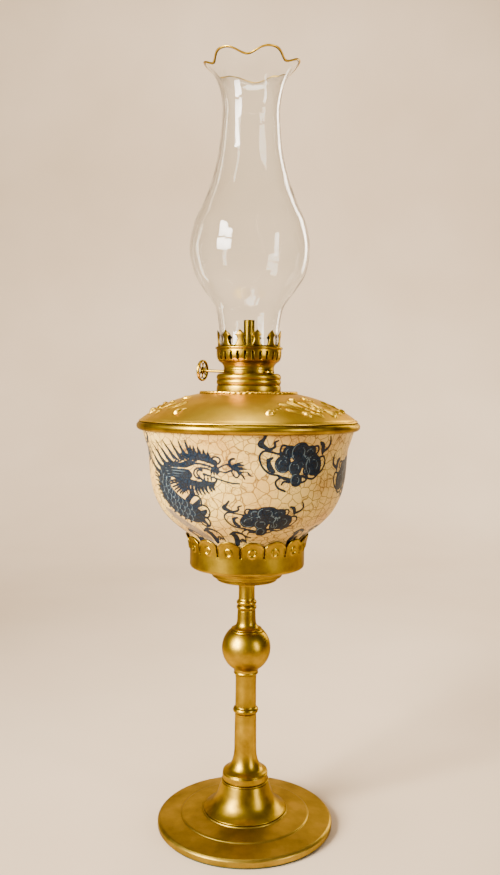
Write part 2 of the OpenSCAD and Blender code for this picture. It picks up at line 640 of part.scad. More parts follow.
// An openwork wheel: a rounded rim, a hub and a ring of loops between them
module wick_knob() color("gold") {
    rim_w = 1.5;
    rim_h = 2;
    hub_r = 2.1;
    hub_h = 3;
    loop_t = 1;
    loops = 6;
    loop_out_r = (knob_r - rim_w - hub_r) / 2 + 0.3;
    loop_w = 0.7;
    on_spindle(knob_reach) {
        difference() {
            translate([0, 0, -hub_h / 2]) cylinder(r = hub_r, h = hub_h, $fn = 32);
            translate([0, 0, -hub_h]) cylinder(r = spindle_r, h = 2 * hub_h, $fn = 32);
        }
        lathe(concat(arc(knob_r - rim_w / 2, -rim_h / 4, rim_w / 2, -90, 0, 4),
            arc(knob_r - rim_w / 2, rim_h / 4, rim_w / 2, 0, 90, 4),
            [[knob_r - rim_w, rim_h / 4], [knob_r - rim_w, -rim_h / 4]]));
        for (i = [0:loops - 1]) rotate([0, 0, 360 / loops * i])
            translate([(knob_r - rim_w + hub_r) / 2, 0, 0])
                ring(loop_out_r, loop_out_r - loop_w, -loop_t / 2, loop_t);
    }
}

module wick() color("ivory") {
    wick_bottom_z = nut_top_z + 20;
    translate([0, 0, wick_bottom_z]) cylinder(r = wick_r, h = wick_top_z - wick_bottom_z, $fn = 48);
}

// ---- Chimney ----

// The glass from its foot to the neck, then a flare to the rim
chimney_side = smooth([
    [chimney_foot_r, 0], [chimney_foot_r, 0.07 * chimney_h],
    [mix(chimney_foot_r, chimney_bulb_r, 0.09), 0.13 * chimney_h],
    [mix(chimney_foot_r, chimney_bulb_r, 0.22), 0.163 * chimney_h],
    [mix(chimney_foot_r, chimney_bulb_r, 0.56), 0.212 * chimney_h],
    [mix(chimney_foot_r, chimney_bulb_r, 0.87), 0.27 * chimney_h], [chimney_bulb_r, 0.355 * chimney_h],
    [mix(chimney_neck_r, chimney_bulb_r, 0.865), 0.44 * chimney_h],
    [mix(chimney_neck_r, chimney_bulb_r, 0.57), 0.516 * chimney_h],
    [mix(chimney_neck_r, chimney_bulb_r, 0.29), 0.605 * chimney_h],
    [mix(chimney_neck_r, chimney_bulb_r, 0.1), 0.705 * chimney_h],
    [chimney_neck_r, 0.82 * chimney_h], [chimney_neck_r + 0.9, 0.89 * chimney_h],
    [mix(chimney_neck_r, chimney_rim_r, 0.32), 0.948 * chimney_h], [chimney_rim_r, chimney_h]], 4);

module chimney() color("white", 0.35) difference() {
    crimp_r = 16;
    crimp_depth = 5;
    crimp_turn = -6;
    lathe(concat(shifted(chimney_side, 0, chimney_z), reversed(shifted(chimney_side, -glass_t, chimney_z))));
    for (i = [0:crimps - 1]) rotate([0, 0, crimp_turn + 360 / crimps * i])
        translate([0, -chimney_neck_r - 3, chimney_z + chimney_h + crimp_r - crimp_depth])
            rotate([90, 0, 0]) cylinder(r = crimp_r, h = chimney_rim_r);
}

base_felt();
base_plate();
base_nut();
base_washer();
tie_rod();
pedestal();
stem_lower();
ball_knop();
stem_upper();
bowl_cup();
bowl_collar();
bowl_cushion();
porcelain_bowl();
bowl_gasket();
bowl_washer();
bowl_nut();
bowl_rim();
font_cup();
font_shoulder();
lid();
lid_relief();
rope_ring();
burner_collar();
burner_gasket();
burner_spigot();
burner_body();
burner_lug();
gallery();
air_screen();
wick_tube();
spindle_bush();
spindle_bracket();
spindle();
spur_wheel();
wick_knob();
wick();
chimney();
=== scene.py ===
# %% [markdown]
# # An oil lamp on a brass candlestick stand
#
# The lamp is 57 cm high: a turned brass stand, a crackle-glazed porcelain bowl painted in cobalt blue, a
# domed brass lid with a screw-in burner, and a clear glass chimney. The CAD model already holds every size
# and every joint. This notebook gives each visible piece its true surface and its finish, and leaves the
# hidden pieces as they are.

# %% Load the frame
import json
import bmesh
import bpy
import numpy as np
from math import atan2, cos, hypot, pi, radians, sin
from mathutils import Matrix, Vector


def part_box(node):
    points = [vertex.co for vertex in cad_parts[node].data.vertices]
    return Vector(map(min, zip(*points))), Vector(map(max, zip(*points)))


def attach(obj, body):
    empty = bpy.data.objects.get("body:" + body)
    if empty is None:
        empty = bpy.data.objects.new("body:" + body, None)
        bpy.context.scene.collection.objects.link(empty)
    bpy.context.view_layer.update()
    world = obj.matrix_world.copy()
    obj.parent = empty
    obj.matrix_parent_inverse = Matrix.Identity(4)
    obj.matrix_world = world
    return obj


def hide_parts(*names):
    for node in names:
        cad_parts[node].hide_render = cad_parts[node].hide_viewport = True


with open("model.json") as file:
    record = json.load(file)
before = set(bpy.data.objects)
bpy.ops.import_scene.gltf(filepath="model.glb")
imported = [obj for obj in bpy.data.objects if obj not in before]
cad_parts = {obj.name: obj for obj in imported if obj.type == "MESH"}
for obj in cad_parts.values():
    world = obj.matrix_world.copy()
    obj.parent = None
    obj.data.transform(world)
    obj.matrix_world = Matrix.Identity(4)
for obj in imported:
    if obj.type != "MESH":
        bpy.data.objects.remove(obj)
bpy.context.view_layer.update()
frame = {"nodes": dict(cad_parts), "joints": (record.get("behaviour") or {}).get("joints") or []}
nodes = frame["nodes"]
MM = 0.001

# %% [markdown]
# ## Camera
#
# The camera stands a little over half a metre in front of the lamp, level with the bowl's rim, and looks
# slightly down. A lens as short as this one shows the base from above and the chimney's mouth from below. The
# small roll is that of a camera held by hand. It is made first, so that everything after it can be judged in
# the view.

# %% The camera
CAMERA_DISTANCE = 0.640
CAMERA_HEIGHT = 0.332
CAMERA_PITCH = radians(3.18)
CAMERA_YAW = radians(-0.12)
CAMERA_ROLL = radians(0.55)
camera = bpy.data.objects.new("camera", bpy.data.cameras.new("camera"))
bpy.context.scene.collection.objects.link(camera)
camera.data.sensor_fit = "VERTICAL"
camera.data.sensor_height = 36
camera.data.lens = 35.2
camera.matrix_world = (Matrix.Translation((0, -CAMERA_DISTANCE, CAMERA_HEIGHT))
                       @ Matrix.Rotation(CAMERA_YAW, 4, "Z")
                       @ Matrix.Rotation(pi / 2 - CAMERA_PITCH, 4, "X")
                       @ Matrix.Rotation(CAMERA_ROLL, 4, "Z"))
bpy.context.scene.camera = camera
print("lens in mm:", camera.data.lens, "distance in mm:", round(CAMERA_DISTANCE / MM))

# %% [markdown]
# ## Floor and light
#
# Polished metal and glass show the room more than themselves, so the light is made of large plain panels: a
# tall window-like one on the left, a weaker one on the right, one overhead and a soft fill. The floor sweeps
# up behind the lamp, so that no horizon line crosses the glass.

# %% A sweep of pale floor
def sweep_points(width, front, back, height, bend):
    """Floor, quarter-round bend and wall as one sheet: a path in y and z, drawn out along x."""
    turn = np.linspace(0, pi / 2, 17)
    y = np.concatenate([[-front], back - bend + bend * np.sin(turn), [back]])
    z = np.concatenate([[0], bend - bend * np.cos(turn), [height]])
    x = np.linspace(-width / 2, width / 2, 9)
    yy, xx = np.meshgrid(y, x, indexing="ij")
    zz = np.repeat(z[:, None], len(x), axis=1)
    return np.stack([xx, yy, zz], axis=-1) / MM


def grid_quads(rows, columns, close_rows=False, close_columns=False, first=0):
    """Corner numbers of the quads between the points of a grid, whose first point has the number first. A
    closed direction also joins its last line to its first."""
    index = first + np.arange(rows * columns).reshape(rows, columns)
    if close_rows:
        index = np.vstack([index, index[:1]])
    if close_columns:
        index = np.hstack([index, index[:, :1]])
    return np.stack([index[:-1, :-1], index[:-1, 1:], index[1:, 1:], index[1:, :-1]], axis=-1).reshape(-1, 4)


def grid_object(name, points, close_rows=False, close_columns=False, solid=False):
    """An object from a grid of points in millimetres: points[i, j] is joined to points[i + 1, j] and
    points[i, j + 1]. A solid has its faces turned out."""
    return mesh_object(name, points.reshape(-1, 3), grid_quads(*points.shape[:2], close_rows, close_columns),
                       solid)


def mesh_object(name, points, quads, solid=False):
    """Puts points in millimetres and quads into a smooth-shaded mesh, and merges points that coincide."""
    mesh = bpy.data.meshes.new(name)
    mesh.vertices.add(len(points))
    mesh.vertices.foreach_set("co", np.asarray(points * MM, dtype=np.float32).ravel())
    mesh.loops.add(quads.size)
    mesh.loops.foreach_set("vertex_index", np.asarray(quads, dtype=np.int32).ravel())
    mesh.polygons.add(len(quads))
    mesh.polygons.foreach_set("loop_start", np.arange(0, quads.size, 4, dtype=np.int32))
    mesh.update(calc_edges=True)
    work = bmesh.new()
    work.from_mesh(mesh)
    bmesh.ops.remove_doubles(work, verts=work.verts, dist=1e-7)
    if solid:
        bmesh.ops.recalc_face_normals(work, faces=work.faces)
    work.to_mesh(mesh)
    work.free()
    mesh.polygons.foreach_set("use_smooth", np.ones(len(mesh.polygons), dtype=bool))
    piece = bpy.data.objects.new(name, mesh)
    bpy.context.scene.collection.objects.link(piece)
    return piece


floor = grid_object("floor", sweep_points(width=5, front=2.5, back=1.9, height=3.2, bend=0.9))
print("floor quads:", len(floor.data.polygons))

# %% Lights
def panel_light(name, place, aim, size, power, colour, spread=180):
    """A rectangular area light at place that faces aim. A narrow spread keeps its light off the floor."""
    lamp = bpy.data.lights.new(name, "AREA")
    lamp.shape = "RECTANGLE"
    lamp.size, lamp.size_y = size
    lamp.spread = radians(spread)
    lamp.energy = power
    lamp.color = colour
    panel = bpy.data.objects.new(name, lamp)
    panel.location = place
    panel.rotation_euler = (Vector(aim) - Vector(place)).to_track_quat("-Z", "Y").to_euler()
    bpy.context.scene.collection.objects.link(panel)


MIDDLE = (0, 0, 0.3)
WARM, PALE = (1.0, 0.88, 0.72), (1.0, 0.95, 0.88)
for row, z in enumerate((0.62, 1.12)):
    for column, y in enumerate((-1.25, -0.78)):
        panel_light(f"window_{row}{column}", (-1.15, y, z), MIDDLE, (0.36, 0.42), 3.3, PALE, 50)
panel_light("right_panel", (1.2, -0.9, 0.55), MIDDLE, (0.22, 0.9), 1.8, PALE, 60)
panel_light("right_rear_panel", (0.9, 0.9, 0.7), MIDDLE, (0.25, 1.0), 1.5, WARM, 60)
panel_light("overhead", (-0.1, -0.1, 1.8), MIDDLE, (0.5, 0.5), 0.8, PALE, 50)
panel_light("backdrop_wash", (0, 0.5, 2.3), (0, 1.7, 0.5), (2.4, 0.4), 46, PALE, 100)
world = bpy.data.worlds.new("studio")
bpy.context.scene.world = world
world.use_nodes = True
background = world.node_tree.nodes["Background"]
background.inputs["Color"].default_value = (0.80, 0.66, 0.50, 1)
background.inputs["Strength"].default_value = 0.11
print("light panels:", [lamp.name for lamp in bpy.data.lights])

# %% [markdown]
# ## Materials
#
# Colours are picked as sRGB hex values, the form in which one reads them off a chart, and turned into the
# linear values that the renderer works with by one function. One more function adds a shader node with its
# settings and its links, so that each material below reads as a list of what it is made of. Patterns are
# measured in metres on Object coordinates: every object sits at the origin unscaled, so a scale of 1 / 0.004
# repeats every 4 mm.

# %% Colour and node helpers
def linear(hex_code):
    """sRGB hex to linear RGBA: below 0.04045 a straight line, above it a power of 2.4."""
    value = np.array([int(hex_code[i:i + 2], 16) / 255 for i in (1, 3, 5)])
    value = np.where(value <= 0.04045, value / 12.92, ((value + 0.055) / 1.055) ** 2.4)
    return (*value, 1.0)


def set_inputs(node, **inputs):
    """Sets or links a node's inputs. Each is a value, a hex colour, a socket to link from, or a node, whose
    first live output is linked. An input is named by its label with underscores for spaces, or by its
    position as in0."""
    for key, value in inputs.items():
        place = int(key[2:]) if key[:2] == "in" and key[2:].isdigit() else key.replace("_", " ")
        if isinstance(value, bpy.types.Node):
            value = next(socket for socket in value.outputs if socket.enabled)
        if isinstance(value, bpy.types.NodeSocket):
            node.id_data.links.new(value, node.inputs[place])
        else:
            node.inputs[place].default_value = linear(value) if isinstance(value, str) else value


def add_node(tree, kind, settings=None, stops=(), **inputs):
    """Adds a shader node with its inputs. settings are its properties, and stops the (position, hex or grey)
    points of a colour ramp."""
    new = tree.nodes.new("ShaderNode" + kind)
    for key, value in (settings or {}).items():
        setattr(new, key, value)
    for number, (position, colour) in enumerate(stops):
        point = new.color_ramp.elements[number]
        point.position = position
        point.color = linear(colour) if isinstance(colour, str) else (colour, colour, colour, 1)
    set_inputs(new, **inputs)
    return new


def new_material(name, **surface):
    """A material with one Principled shader, set to the plain values in surface. Gives the material, its
    tree, its shader and the socket of its Object coordinates."""
    material = bpy.data.materials.new(name)
    material.use_nodes = True
    tree = material.node_tree
    shader = tree.nodes["Principled BSDF"]
    set_inputs(shader, **surface)
    return material, tree, shader, add_node(tree, "TexCoord").outputs["Object"]


def per_mm(size_mm):
    """The scale at which a noise or cell texture has features about size_mm wide."""
    return 1 / (size_mm * MM)


MIX = {"data_type": "RGBA"}
MULTIPLY = {"operation": "MULTIPLY"}
SUBTRACT = {"operation": "SUBTRACT"}

# %% A warm, pale floor
plaster, tree, shader, place = new_material("warm_pale_plaster", Roughness=0.85)
clouded = add_node(tree, "TexNoise", Vector=place, Scale=per_mm(400), Detail=3)
set_inputs(shader, Base_Color=add_node(tree, "ValToRGB", stops=[(0.3, "#DCC2A0"), (0.7, "#E9D0B0")],
                                       Fac=clouded))
floor.data.materials.append(plaster)
print("floor finish:", plaster.name)

# %% [markdown]
# ### Brass
#
# Spun and turned yellow brass that has been handled and wiped for a hundred years. The high parts stay
# bright, the hollows keep a brown film, and a light haze of fine wiping marks softens the reflections. Brass
# is a metal, so the colour goes in the base colour with metallic at 1, and the patina works through colour
# and roughness. An ambient-occlusion node finds the hollows, because the real film survives exactly where a
# cloth doesn't reach.

# %% Brass
def brass(name, bright, mid, film, roughness, film_reach_mm=3.0):
    """Aged brass: mid with bright cloudy patches, and a brown film in the hollows and in small stains."""
    material, tree, shader, place = new_material(name, Metallic=1.0, Specular_Tint="#C4BEB4")
    cloud = add_node(tree, "TexNoise", Vector=place, Scale=per_mm(22), Detail=5, Roughness=0.6)
    stain = add_node(tree, "TexNoise", Vector=place, Scale=per_mm(3.2), Detail=7, Roughness=0.7)
    polish = add_node(tree, "ValToRGB", stops=[(0.36, mid), (0.66, bright)], Fac=cloud)
    hollow = add_node(tree, "AmbientOcclusion", {"samples": 6}, Distance=film_reach_mm * MM).outputs["AO"]
    stained = add_node(tree, "Math", {"operation": "MULTIPLY_ADD"}, in0=stain, in1=0.3, in2=-0.15)
    clean = add_node(tree, "Math", SUBTRACT, in0=hollow, in1=stained)
    film_amount = add_node(tree, "ValToRGB", stops=[(0.45, 1.0), (0.93, 0.0)], Fac=clean)
    colour = add_node(tree, "Mix", MIX, in0=film_amount, in6=polish, in7=film)
    wipe = add_node(tree, "TexNoise", Vector=place, Scale=per_mm(0.9), Detail=6, Roughness=0.75)
    rough = add_node(tree, "MapRange", Value=wipe, To_Min=roughness - 0.07, To_Max=roughness + 0.12)
    relief = add_node(tree, "Bump", Height=stain, Distance=0.05 * MM, Strength=0.2)
    set_inputs(shader, Base_Color=colour, Roughness=rough, Normal=relief)
    return material


satin_brass = brass("aged_satin_brass", "#B8941C", "#7C6010", "#1A1202", 0.3)
lid_brass = brass("gilded_spun_brass", "#FACA3A", "#E2AE26", "#5A3E08", 0.34, film_reach_mm=1.6)
base_brass = brass("dull_handled_brass", "#AC8C30", "#806A20", "#2A1E06", 0.36)
burner_brass = brass("darkened_burner_brass", "#B8921E", "#7A5C12", "#1C1202", 0.27)
print("finishes of brass:", [m.name for m in (satin_brass, lid_brass, base_brass, burner_brass)])

# %% [markdown]
# ## Turned pieces
#
# Nearly everything on this lamp was turned on a lathe or spun over a form, so nearly everything is a profile
# of radius and height carried round the axis. A profile is made of two kinds of line: smooth stretches, drawn
# through a few stations, and sharp steps, whose corners are broken by a small radius. No real edge is
# perfectly sharp, and that small radius is what catches the light. Each piece is a closed ring with its bore,
# so it is also a true solid.

# %% Profiles
def smooth_line(stations, steps=8):
    """A smooth line through the stations: a Catmull-Rom cubic between each two, its slope at a station being
    half the way from the station before to the one after."""
    p = np.asarray(stations, dtype=float)
    before, after = np.vstack([p[:1], p[:-1]])[:-1], np.vstack([p[2:], p[-1:]])
    t = np.linspace(0, 1, steps, endpoint=False)[:, None, None]
    a, b = p[:-1], p[1:]
    line = 0.5 * (2 * a + (b - before) * t + (2 * before - 5 * a + 4 * b - after) * t**2
                  + (3 * a - before - 3 * b + after) * t**3)
    return np.vstack([line.transpose(1, 0, 2).reshape(-1, p.shape[1]), p[-1:]])


def broken_corners(corners, radius=0.4, steps=5):
    """A polyline whose inner corners are rounded: each becomes a quadratic bend that starts and ends radius
    away, or less where a side is short, with one more point beside it that keeps the flat sides flat."""
    p = np.asarray(corners, dtype=float)
    out = [p[:1]]
    t = np.linspace(0, 1, steps)[:, None]
    for before, corner, after in zip(p[:-2], p[1:-1], p[2:]):
        back, ahead = before - corner, after - corner
        size_back, size_ahead = hypot(*back), hypot(*ahead)
        away = min(radius, 0.42 * size_back, 0.42 * size_ahead)
        start, end = corner + back / size_back * away, corner + ahead / size_ahead * away
        bend = (1 - t) ** 2 * start + 2 * t * (1 - t) * corner + t**2 * end
        guard = 0.1 * away
        out += [start[None] + back / size_back * guard, bend, end[None] + ahead / size_ahead * guard]
    return np.vstack(out + [p[-1:]])


def arc_line(centre, radius, start, end, steps=12):
    """Points round a circle in the profile plane, from angle start to angle end in degrees."""
    angle = np.radians(np.linspace(start, end, steps + 1))
    return np.stack([centre[0] + radius * np.cos(angle), centre[1] + radius * np.sin(angle)], axis=-1)


def round_axis(r, angle, height):
    """Points about the lamp's axis: x = r cos a, y = r sin a, z = height."""
    return np.stack(np.broadcast_arrays(r * np.cos(angle), r * np.sin(angle), height), axis=-1)


def circle(sides):
    """Angles that divide a full turn evenly."""
    return np.linspace(0, 2 * pi, sides, endpoint=False)


def revolved(profile, sides=192):
    """Carries a profile of radius and height round the axis."""
    return round_axis(profile[:, :1], circle(sides), profile[:, 1:])


def above(level, *stations):
    """Stations of radius and height, with each height counted from a level."""
    return np.array(stations, dtype=float) + [0, level]


def closed_solid(name, points):
    """A solid whose grid closes on itself in both directions, as the surface of a ring does."""
    return grid_object(name, points, close_rows=True, close_columns=True, solid=True)


def turned_ring(name, outside, bore, sides=192):
    """A turned piece as a closed ring: its outside profile from bottom to top, then its bore back down."""
    outside = np.asarray(outside)
    inside = np.array([[bore, outside[-1, 1]], [bore, outside[0, 1]]])
    return closed_solid(name, revolved(np.vstack([outside, inside]), sides))


def finish_piece(piece, body, slot, material, *replaced):
    """Gives a piece its finish and body, and hides the CAD nodes that it replaces. slot is not used."""
    piece.data.materials.clear()
    piece.data.materials.append(material)
    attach(piece, body)
    if replaced:
        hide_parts(*replaced)
    print(piece.name, len(piece.data.polygons), "faces")


def levels(node):
    """Lowest and highest level of a CAD node, in millimetres."""
    low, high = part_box(node)
    return low.z / MM, high.z / MM


def reach(node):
    """Largest radius of a CAD node about the lamp's axis, in millimetres."""
    low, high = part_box(node)
    return max(high.x, high.y) / MM


ROD_BORE = 3.3
satin = ("brass", satin_brass)
print("bore of the stand in mm:", ROD_BORE)

# %% [markdown]
# ### Base and pedestal
#
# The base is a heavy turned plate with three shallow steps and a half-round edge. Hands have lifted the lamp
# by it for years, so it is duller than the rest. The pedestal is a bell spun from sheet, with a bright rolled
# lip.

# %% Base plate
base_low, base_top = levels("base_plate")
base_r = reach("base_plate")
PEDESTAL_R = reach("pedestal")
step_r, step_top = 48.3, base_top - 3.0
base_profile = broken_corners([
    [ROD_BORE, base_low], [base_r - 0.9, base_low], [base_r - 0.1, base_low + 0.9],
    [base_r - 0.1, base_low + 4.6],
    [base_r - 1.7, base_low + 6.15], [step_r + 0.5, step_top - 0.6], [step_r, step_top],
    [step_r - 0.9, step_top + 0.35], [PEDESTAL_R + 1.2, base_top - 1.0], [PEDESTAL_R + 0.9, base_top - 0.1],
    [PEDESTAL_R - 0.4, base_top], [ROD_BORE, base_top]], radius=0.7)
base_plate = closed_solid("base_plate_turned", revolved(base_profile, 256))
finish_piece(base_plate, "stand", "base_brass", base_brass, "base_plate")

# %% Pedestal
bell_low, bell_top = levels("pedestal")
LIP_R = 18.0
bell = smooth_line([*above(bell_low, (30.4, 1), (26.6, 3.6), (23.2, 7.4), (20.8, 12.3), (19.2, 17)),
                    [17.9, bell_top - 1.6]], 7)
lip = arc_line((LIP_R - 0.75, bell_top - 0.75), 0.75, -80, 85, 8)
pedestal = turned_ring("pedestal_bell", np.vstack([
    broken_corners([[PEDESTAL_R, bell_low], [PEDESTAL_R, bell_low + 0.7], bell[0]], 0.4), bell[1:], lip]),
                       ROD_BORE)
finish_piece(pedestal, "stand", *satin, "pedestal")

# %% [markdown]
# ### Stem
#
# The lower stem starts with a banded foot, flares in to a slim tube with one bead, and opens into a cove
# under the ball. The upper stem is the same idea turned over: a trumpet on the ball, a double bead, and a
# straight tube.

# %% Lower stem
stem_low, stem_top = levels("stem_lower")
band_top = stem_low + 5.2
flare = smooth_line(above(band_top, (16.6, 1.3), (15.6, 1.9), (13, 3.4), (10.6, 6.8), (9.2, 11.2),
                          (8.5, 16.5),
                          (8.4, 24)), 6)
BEAD_Z = stem_low + 53.2
tube = smooth_line([[8.2, BEAD_Z - 5], [8.1, BEAD_Z - 3.2]], 2)
bead_line = arc_line((7.1, BEAD_Z), 2.55, -62, 62, 14)
cove = smooth_line([[8.0, BEAD_Z + 3.0], [7.9, BEAD_Z + 14], [7.9, stem_top - 9], [8.1, stem_top - 5.0]], 6)
cup_edge = smooth_line(above(stem_top, (8.3, -4.6), (9.2, -3.9), (9.3, -3), (9, -2.2), (9.4, -0.9), (9.8, 0)),
                       4)
foot = broken_corners(above(stem_low, (ROD_BORE, 0), (16.9, 0), (17.3, 0.5), (17.2, 4.7), (16.7, 5.2),
                            (16.5, 5.7),
                            (16.9, 6.1), (16.6, 6.5)), 0.25)
stem_lower = turned_ring("stem_lower_turned",
                         np.vstack([foot[1:], flare[1:], tube, bead_line, cove, cup_edge]),
                         ROD_BORE)
finish_piece(stem_lower, "stand", *satin, "stem_lower")

# %% Ball
BALL_R = reach("ball_knop")
BALL_FOOT_R = 9.8
BALL_Z = stem_top + (BALL_R**2 - BALL_FOOT_R**2) ** 0.5
seam = 46.5
ball_line = np.vstack([arc_line((0, BALL_Z), BALL_R, -58.5, seam - 1.1, 40),
                       arc_line((0, BALL_Z), BALL_R - 0.28, seam - 0.4, seam + 0.4, 2),
                       arc_line((0, BALL_Z), BALL_R - 0.05, seam + 1.1, 56, 6)])
ball = turned_ring("ball_spun", ball_line, ROD_BORE, 160)
finish_piece(ball, "stand", *satin, "ball_knop")

# %% Upper stem
upper_low, upper_top = levels("stem_upper")
trumpet = smooth_line(above(upper_low, (11.5, 0.6), (9.4, 1.6), (7.8, 3.6), (7.2, 6.4), (6.8, 14.2)), 6)
DOUBLE_BEAD_Z = upper_top - 16.0
pair = np.vstack([arc_line((5.8, DOUBLE_BEAD_Z - 1.85), 1.85, -66, 66, 10),
                  arc_line((5.8, DOUBLE_BEAD_Z + 1.85), 1.85, -66, 66, 10)])
neck = smooth_line([[6.2, DOUBLE_BEAD_Z + 4.2], [6.1, upper_top - 4], [6.3, upper_top - 1.2],
                    [6.9, upper_top]], 5)
stem_upper = turned_ring("stem_upper_turned", np.vstack([
    broken_corners(above(upper_low, (ROD_BORE, 0), (11.3, 0), (11.6, 0.3), (11.5, 0.6)), 0.2),
    trumpet[1:], pair, neck]), ROD_BORE)
finish_piece(stem_upper, "stand", *satin, "stem_upper")

# %% [markdown]
# ### Cup
#
# The stepped cup carries the collar. Its steps are the marks of the forms that it was spun over.

# %% Cup
cup_low, cup_top = levels("bowl_cup")
cup_profile = broken_corners([
    *above(cup_low, (ROD_BORE, 0), (8.4, 0), (9.2, 0.9), (10.4, 1.4), (19.6, 2.6), (22.3, 3.1), (23, 3.8),
           (23, 5.2),
           (23.6, 5.7), (26, 6.2), (26.6, 6.9), (26.7, 8.6)),
    *above(cup_top, (29.6, -1.2), (30, 0), (ROD_BORE, 0))], 0.5)
cup = closed_solid("cup_spun", revolved(cup_profile))
finish_piece(cup, "stand", *satin, "bowl_cup")

# %% [markdown]
# ### Scalloped collar
#
# The collar is pierced and rolled sheet: sixteen scallops part at keyhole slits, each has a fine rolled edge
# and an embossed ring. One scallop is a sheet of points between a straight line on the collar's wall and the
# edge path, which runs round half a keyhole, up the slit, over the scallop and down again. A scallop copied
# sixteen times would give visible joints, so the whole ring is one grid, and only the slits separate its
# columns.

# %% Collar
collar_low, collar_top = levels("bowl_collar")
collar_tip_r = reach("bowl_collar")
SCALLOPS = 16
SCALLOP_TURN = radians(-90 + 4.8)
COLLAR_SHEET = 0.8
WALL_R = 43.1
pitch = 2 * pi / SCALLOPS
half_width = WALL_R * pitch / 2


def collar_radius(z):
    """Radius of the collar's outside: an upright wall that flares out like a trumpet above 12 mm."""
    t = np.clip((z - collar_low - 12.0) / (collar_top - collar_low - 12.0), 0, 1)
    return WALL_R + (collar_tip_r - WALL_R - 0.15) * t**1.7


def scallop_edge():
    """The edge path of one scallop, across and up in mm: half a keyhole, slit, arch, slit, keyhole."""
    hole_r, slit, hole_z, shoulder = 1.15, 0.42, collar_low + 14.4, collar_top - 4.7
    lift = collar_top - 0.1 - shoulder
    arch_r = ((half_width - slit) ** 2 + lift**2) / (2 * lift)
    hole = arc_line((-half_width, hole_z), hole_r, -90, 68, 9)
    side = np.stack([np.full(9, slit - half_width), np.linspace(hole[-1, 1] + 0.2, shoulder, 9)], axis=-1)
    x = np.linspace(slit - half_width, 0, 22)[1:]
    arch = np.stack([x, collar_top - 0.1 - arch_r + np.sqrt(arch_r**2 - x**2)], axis=-1)
    left = np.vstack([hole, side, arch])
    return np.vstack([left, (left * [-1, 1])[-2::-1]])


def scallop_sheet(rows=27):
    """Points of one scallop as (across, height, outward lift): straight lines from the wall to the edge path,
    with a rolled rib 0.8 mm high along the edge and a ring of 2.5 mm radius embossed on the middle."""
    edge = scallop_edge()
    foot_x = np.linspace(-half_width, half_width, len(edge))
    foot = np.stack([foot_x, np.full(len(edge), collar_low + 8.0)], axis=-1)
    t = np.linspace(0, 1, rows)[:, None, None] ** 0.8
    flat = foot + (edge - foot) * t
    to_edge = np.linalg.norm(edge - flat, axis=-1)
    rib = 0.8 * np.exp(-((to_edge - 0.6) / 0.5) ** 2) * (edge[:, 1] > collar_low + 16)
    middle = np.hypot(flat[..., 0], flat[..., 1] - (collar_low + 16.8))
    ring = 0.85 * np.exp(-((middle - 2.5) / 0.5) ** 2) + 0.12 * np.exp(-(middle / 1.2) ** 2)
    return np.concatenate([flat, (rib + ring)[..., None]], axis=-1)


sheet = scallop_sheet()
turn = SCALLOP_TURN + pitch * np.arange(SCALLOPS)
angle = (turn[:, None, None] + sheet[None, :, :, 0] / WALL_R).transpose(1, 0, 2).reshape(len(sheet), -1)
height = np.tile(sheet[:, :, 1], (1, SCALLOPS))
out = collar_radius(height) + np.tile(sheet[:, :, 2], (1, SCALLOPS))
crown_outside = round_axis(out, angle, height)
crown_inside = round_axis(out - COLLAR_SHEET, angle, height)[::-1]
floor_line = broken_corners([[ROD_BORE, collar_low], [WALL_R - 2.0, collar_low],
                             [WALL_R - 0.6, collar_low + 0.6],
                             [WALL_R, collar_low + 2.0], [WALL_R, collar_low + 8.0]], 1.2)
inner_line = [[WALL_R - COLLAR_SHEET, collar_low + 2.0], [WALL_R - 2.5, collar_low + COLLAR_SHEET],
              [ROD_BORE, collar_low + COLLAR_SHEET]]


def ring_at(profile):
    """Profile points carried round at the angles of the crown's columns."""
    profile = np.asarray(profile)
    return round_axis(profile[:, :1], angle[:1], profile[:, 1:])


collar = closed_solid("collar_pierced", np.vstack([ring_at(floor_line[:-1]), crown_outside, crown_inside,
                                                   ring_at(inner_line)]))
finish_piece(collar, "stand", *satin, "bowl_collar")

# %% [markdown]
# ### The porcelain bowl
#
# The bowl is thrown stoneware under a thick cream glaze. The glaze shrank more than the clay as it cooled and
# cracked into a net of fine lines, which tea or smoke has stained brown. The decoration was painted in cobalt
# under the glaze with a soft brush: a dragon's head with a streaming mane, and scrolling clouds.
#
# Brush strokes could be thin pieces laid on the bowl, but real underglaze painting lies in the surface. So
# each stroke is a line of stations with a half-width, every point of the bowl measures how deep inside the
# nearest stroke it lies, and that depth is kept as an attribute. Depth changes evenly across an edge, so the
# material finds a crisp edge even between two points of the grid.

# %% Brush strokes
PAINT_R = 73.6


def stroke(*stations):
    """A brush stroke through stations of (across, height, half-width) in millimetres, smoothed."""
    return smooth_line(stations, 7)


def away_from(points, line):
    """How far each point is from each straight bit of a stroke, and the stroke's half-width at the nearest
    spot. The half-width changes evenly along a bit."""
    start, end = line[:-1], line[1:]
    side = end[:, :2] - start[:, :2]
    length = np.maximum((side**2).sum(-1), 1e-9)
    t = np.clip(((points - start[:, :2]) * side).sum(-1) / length, 0, 1)
    away = np.linalg.norm(points - start[:, :2] - t[..., None] * side, axis=-1)
    return away, start[:, 2] + (end[:, 2] - start[:, 2]) * t


DEPTH_OUTSIDE = -4.0


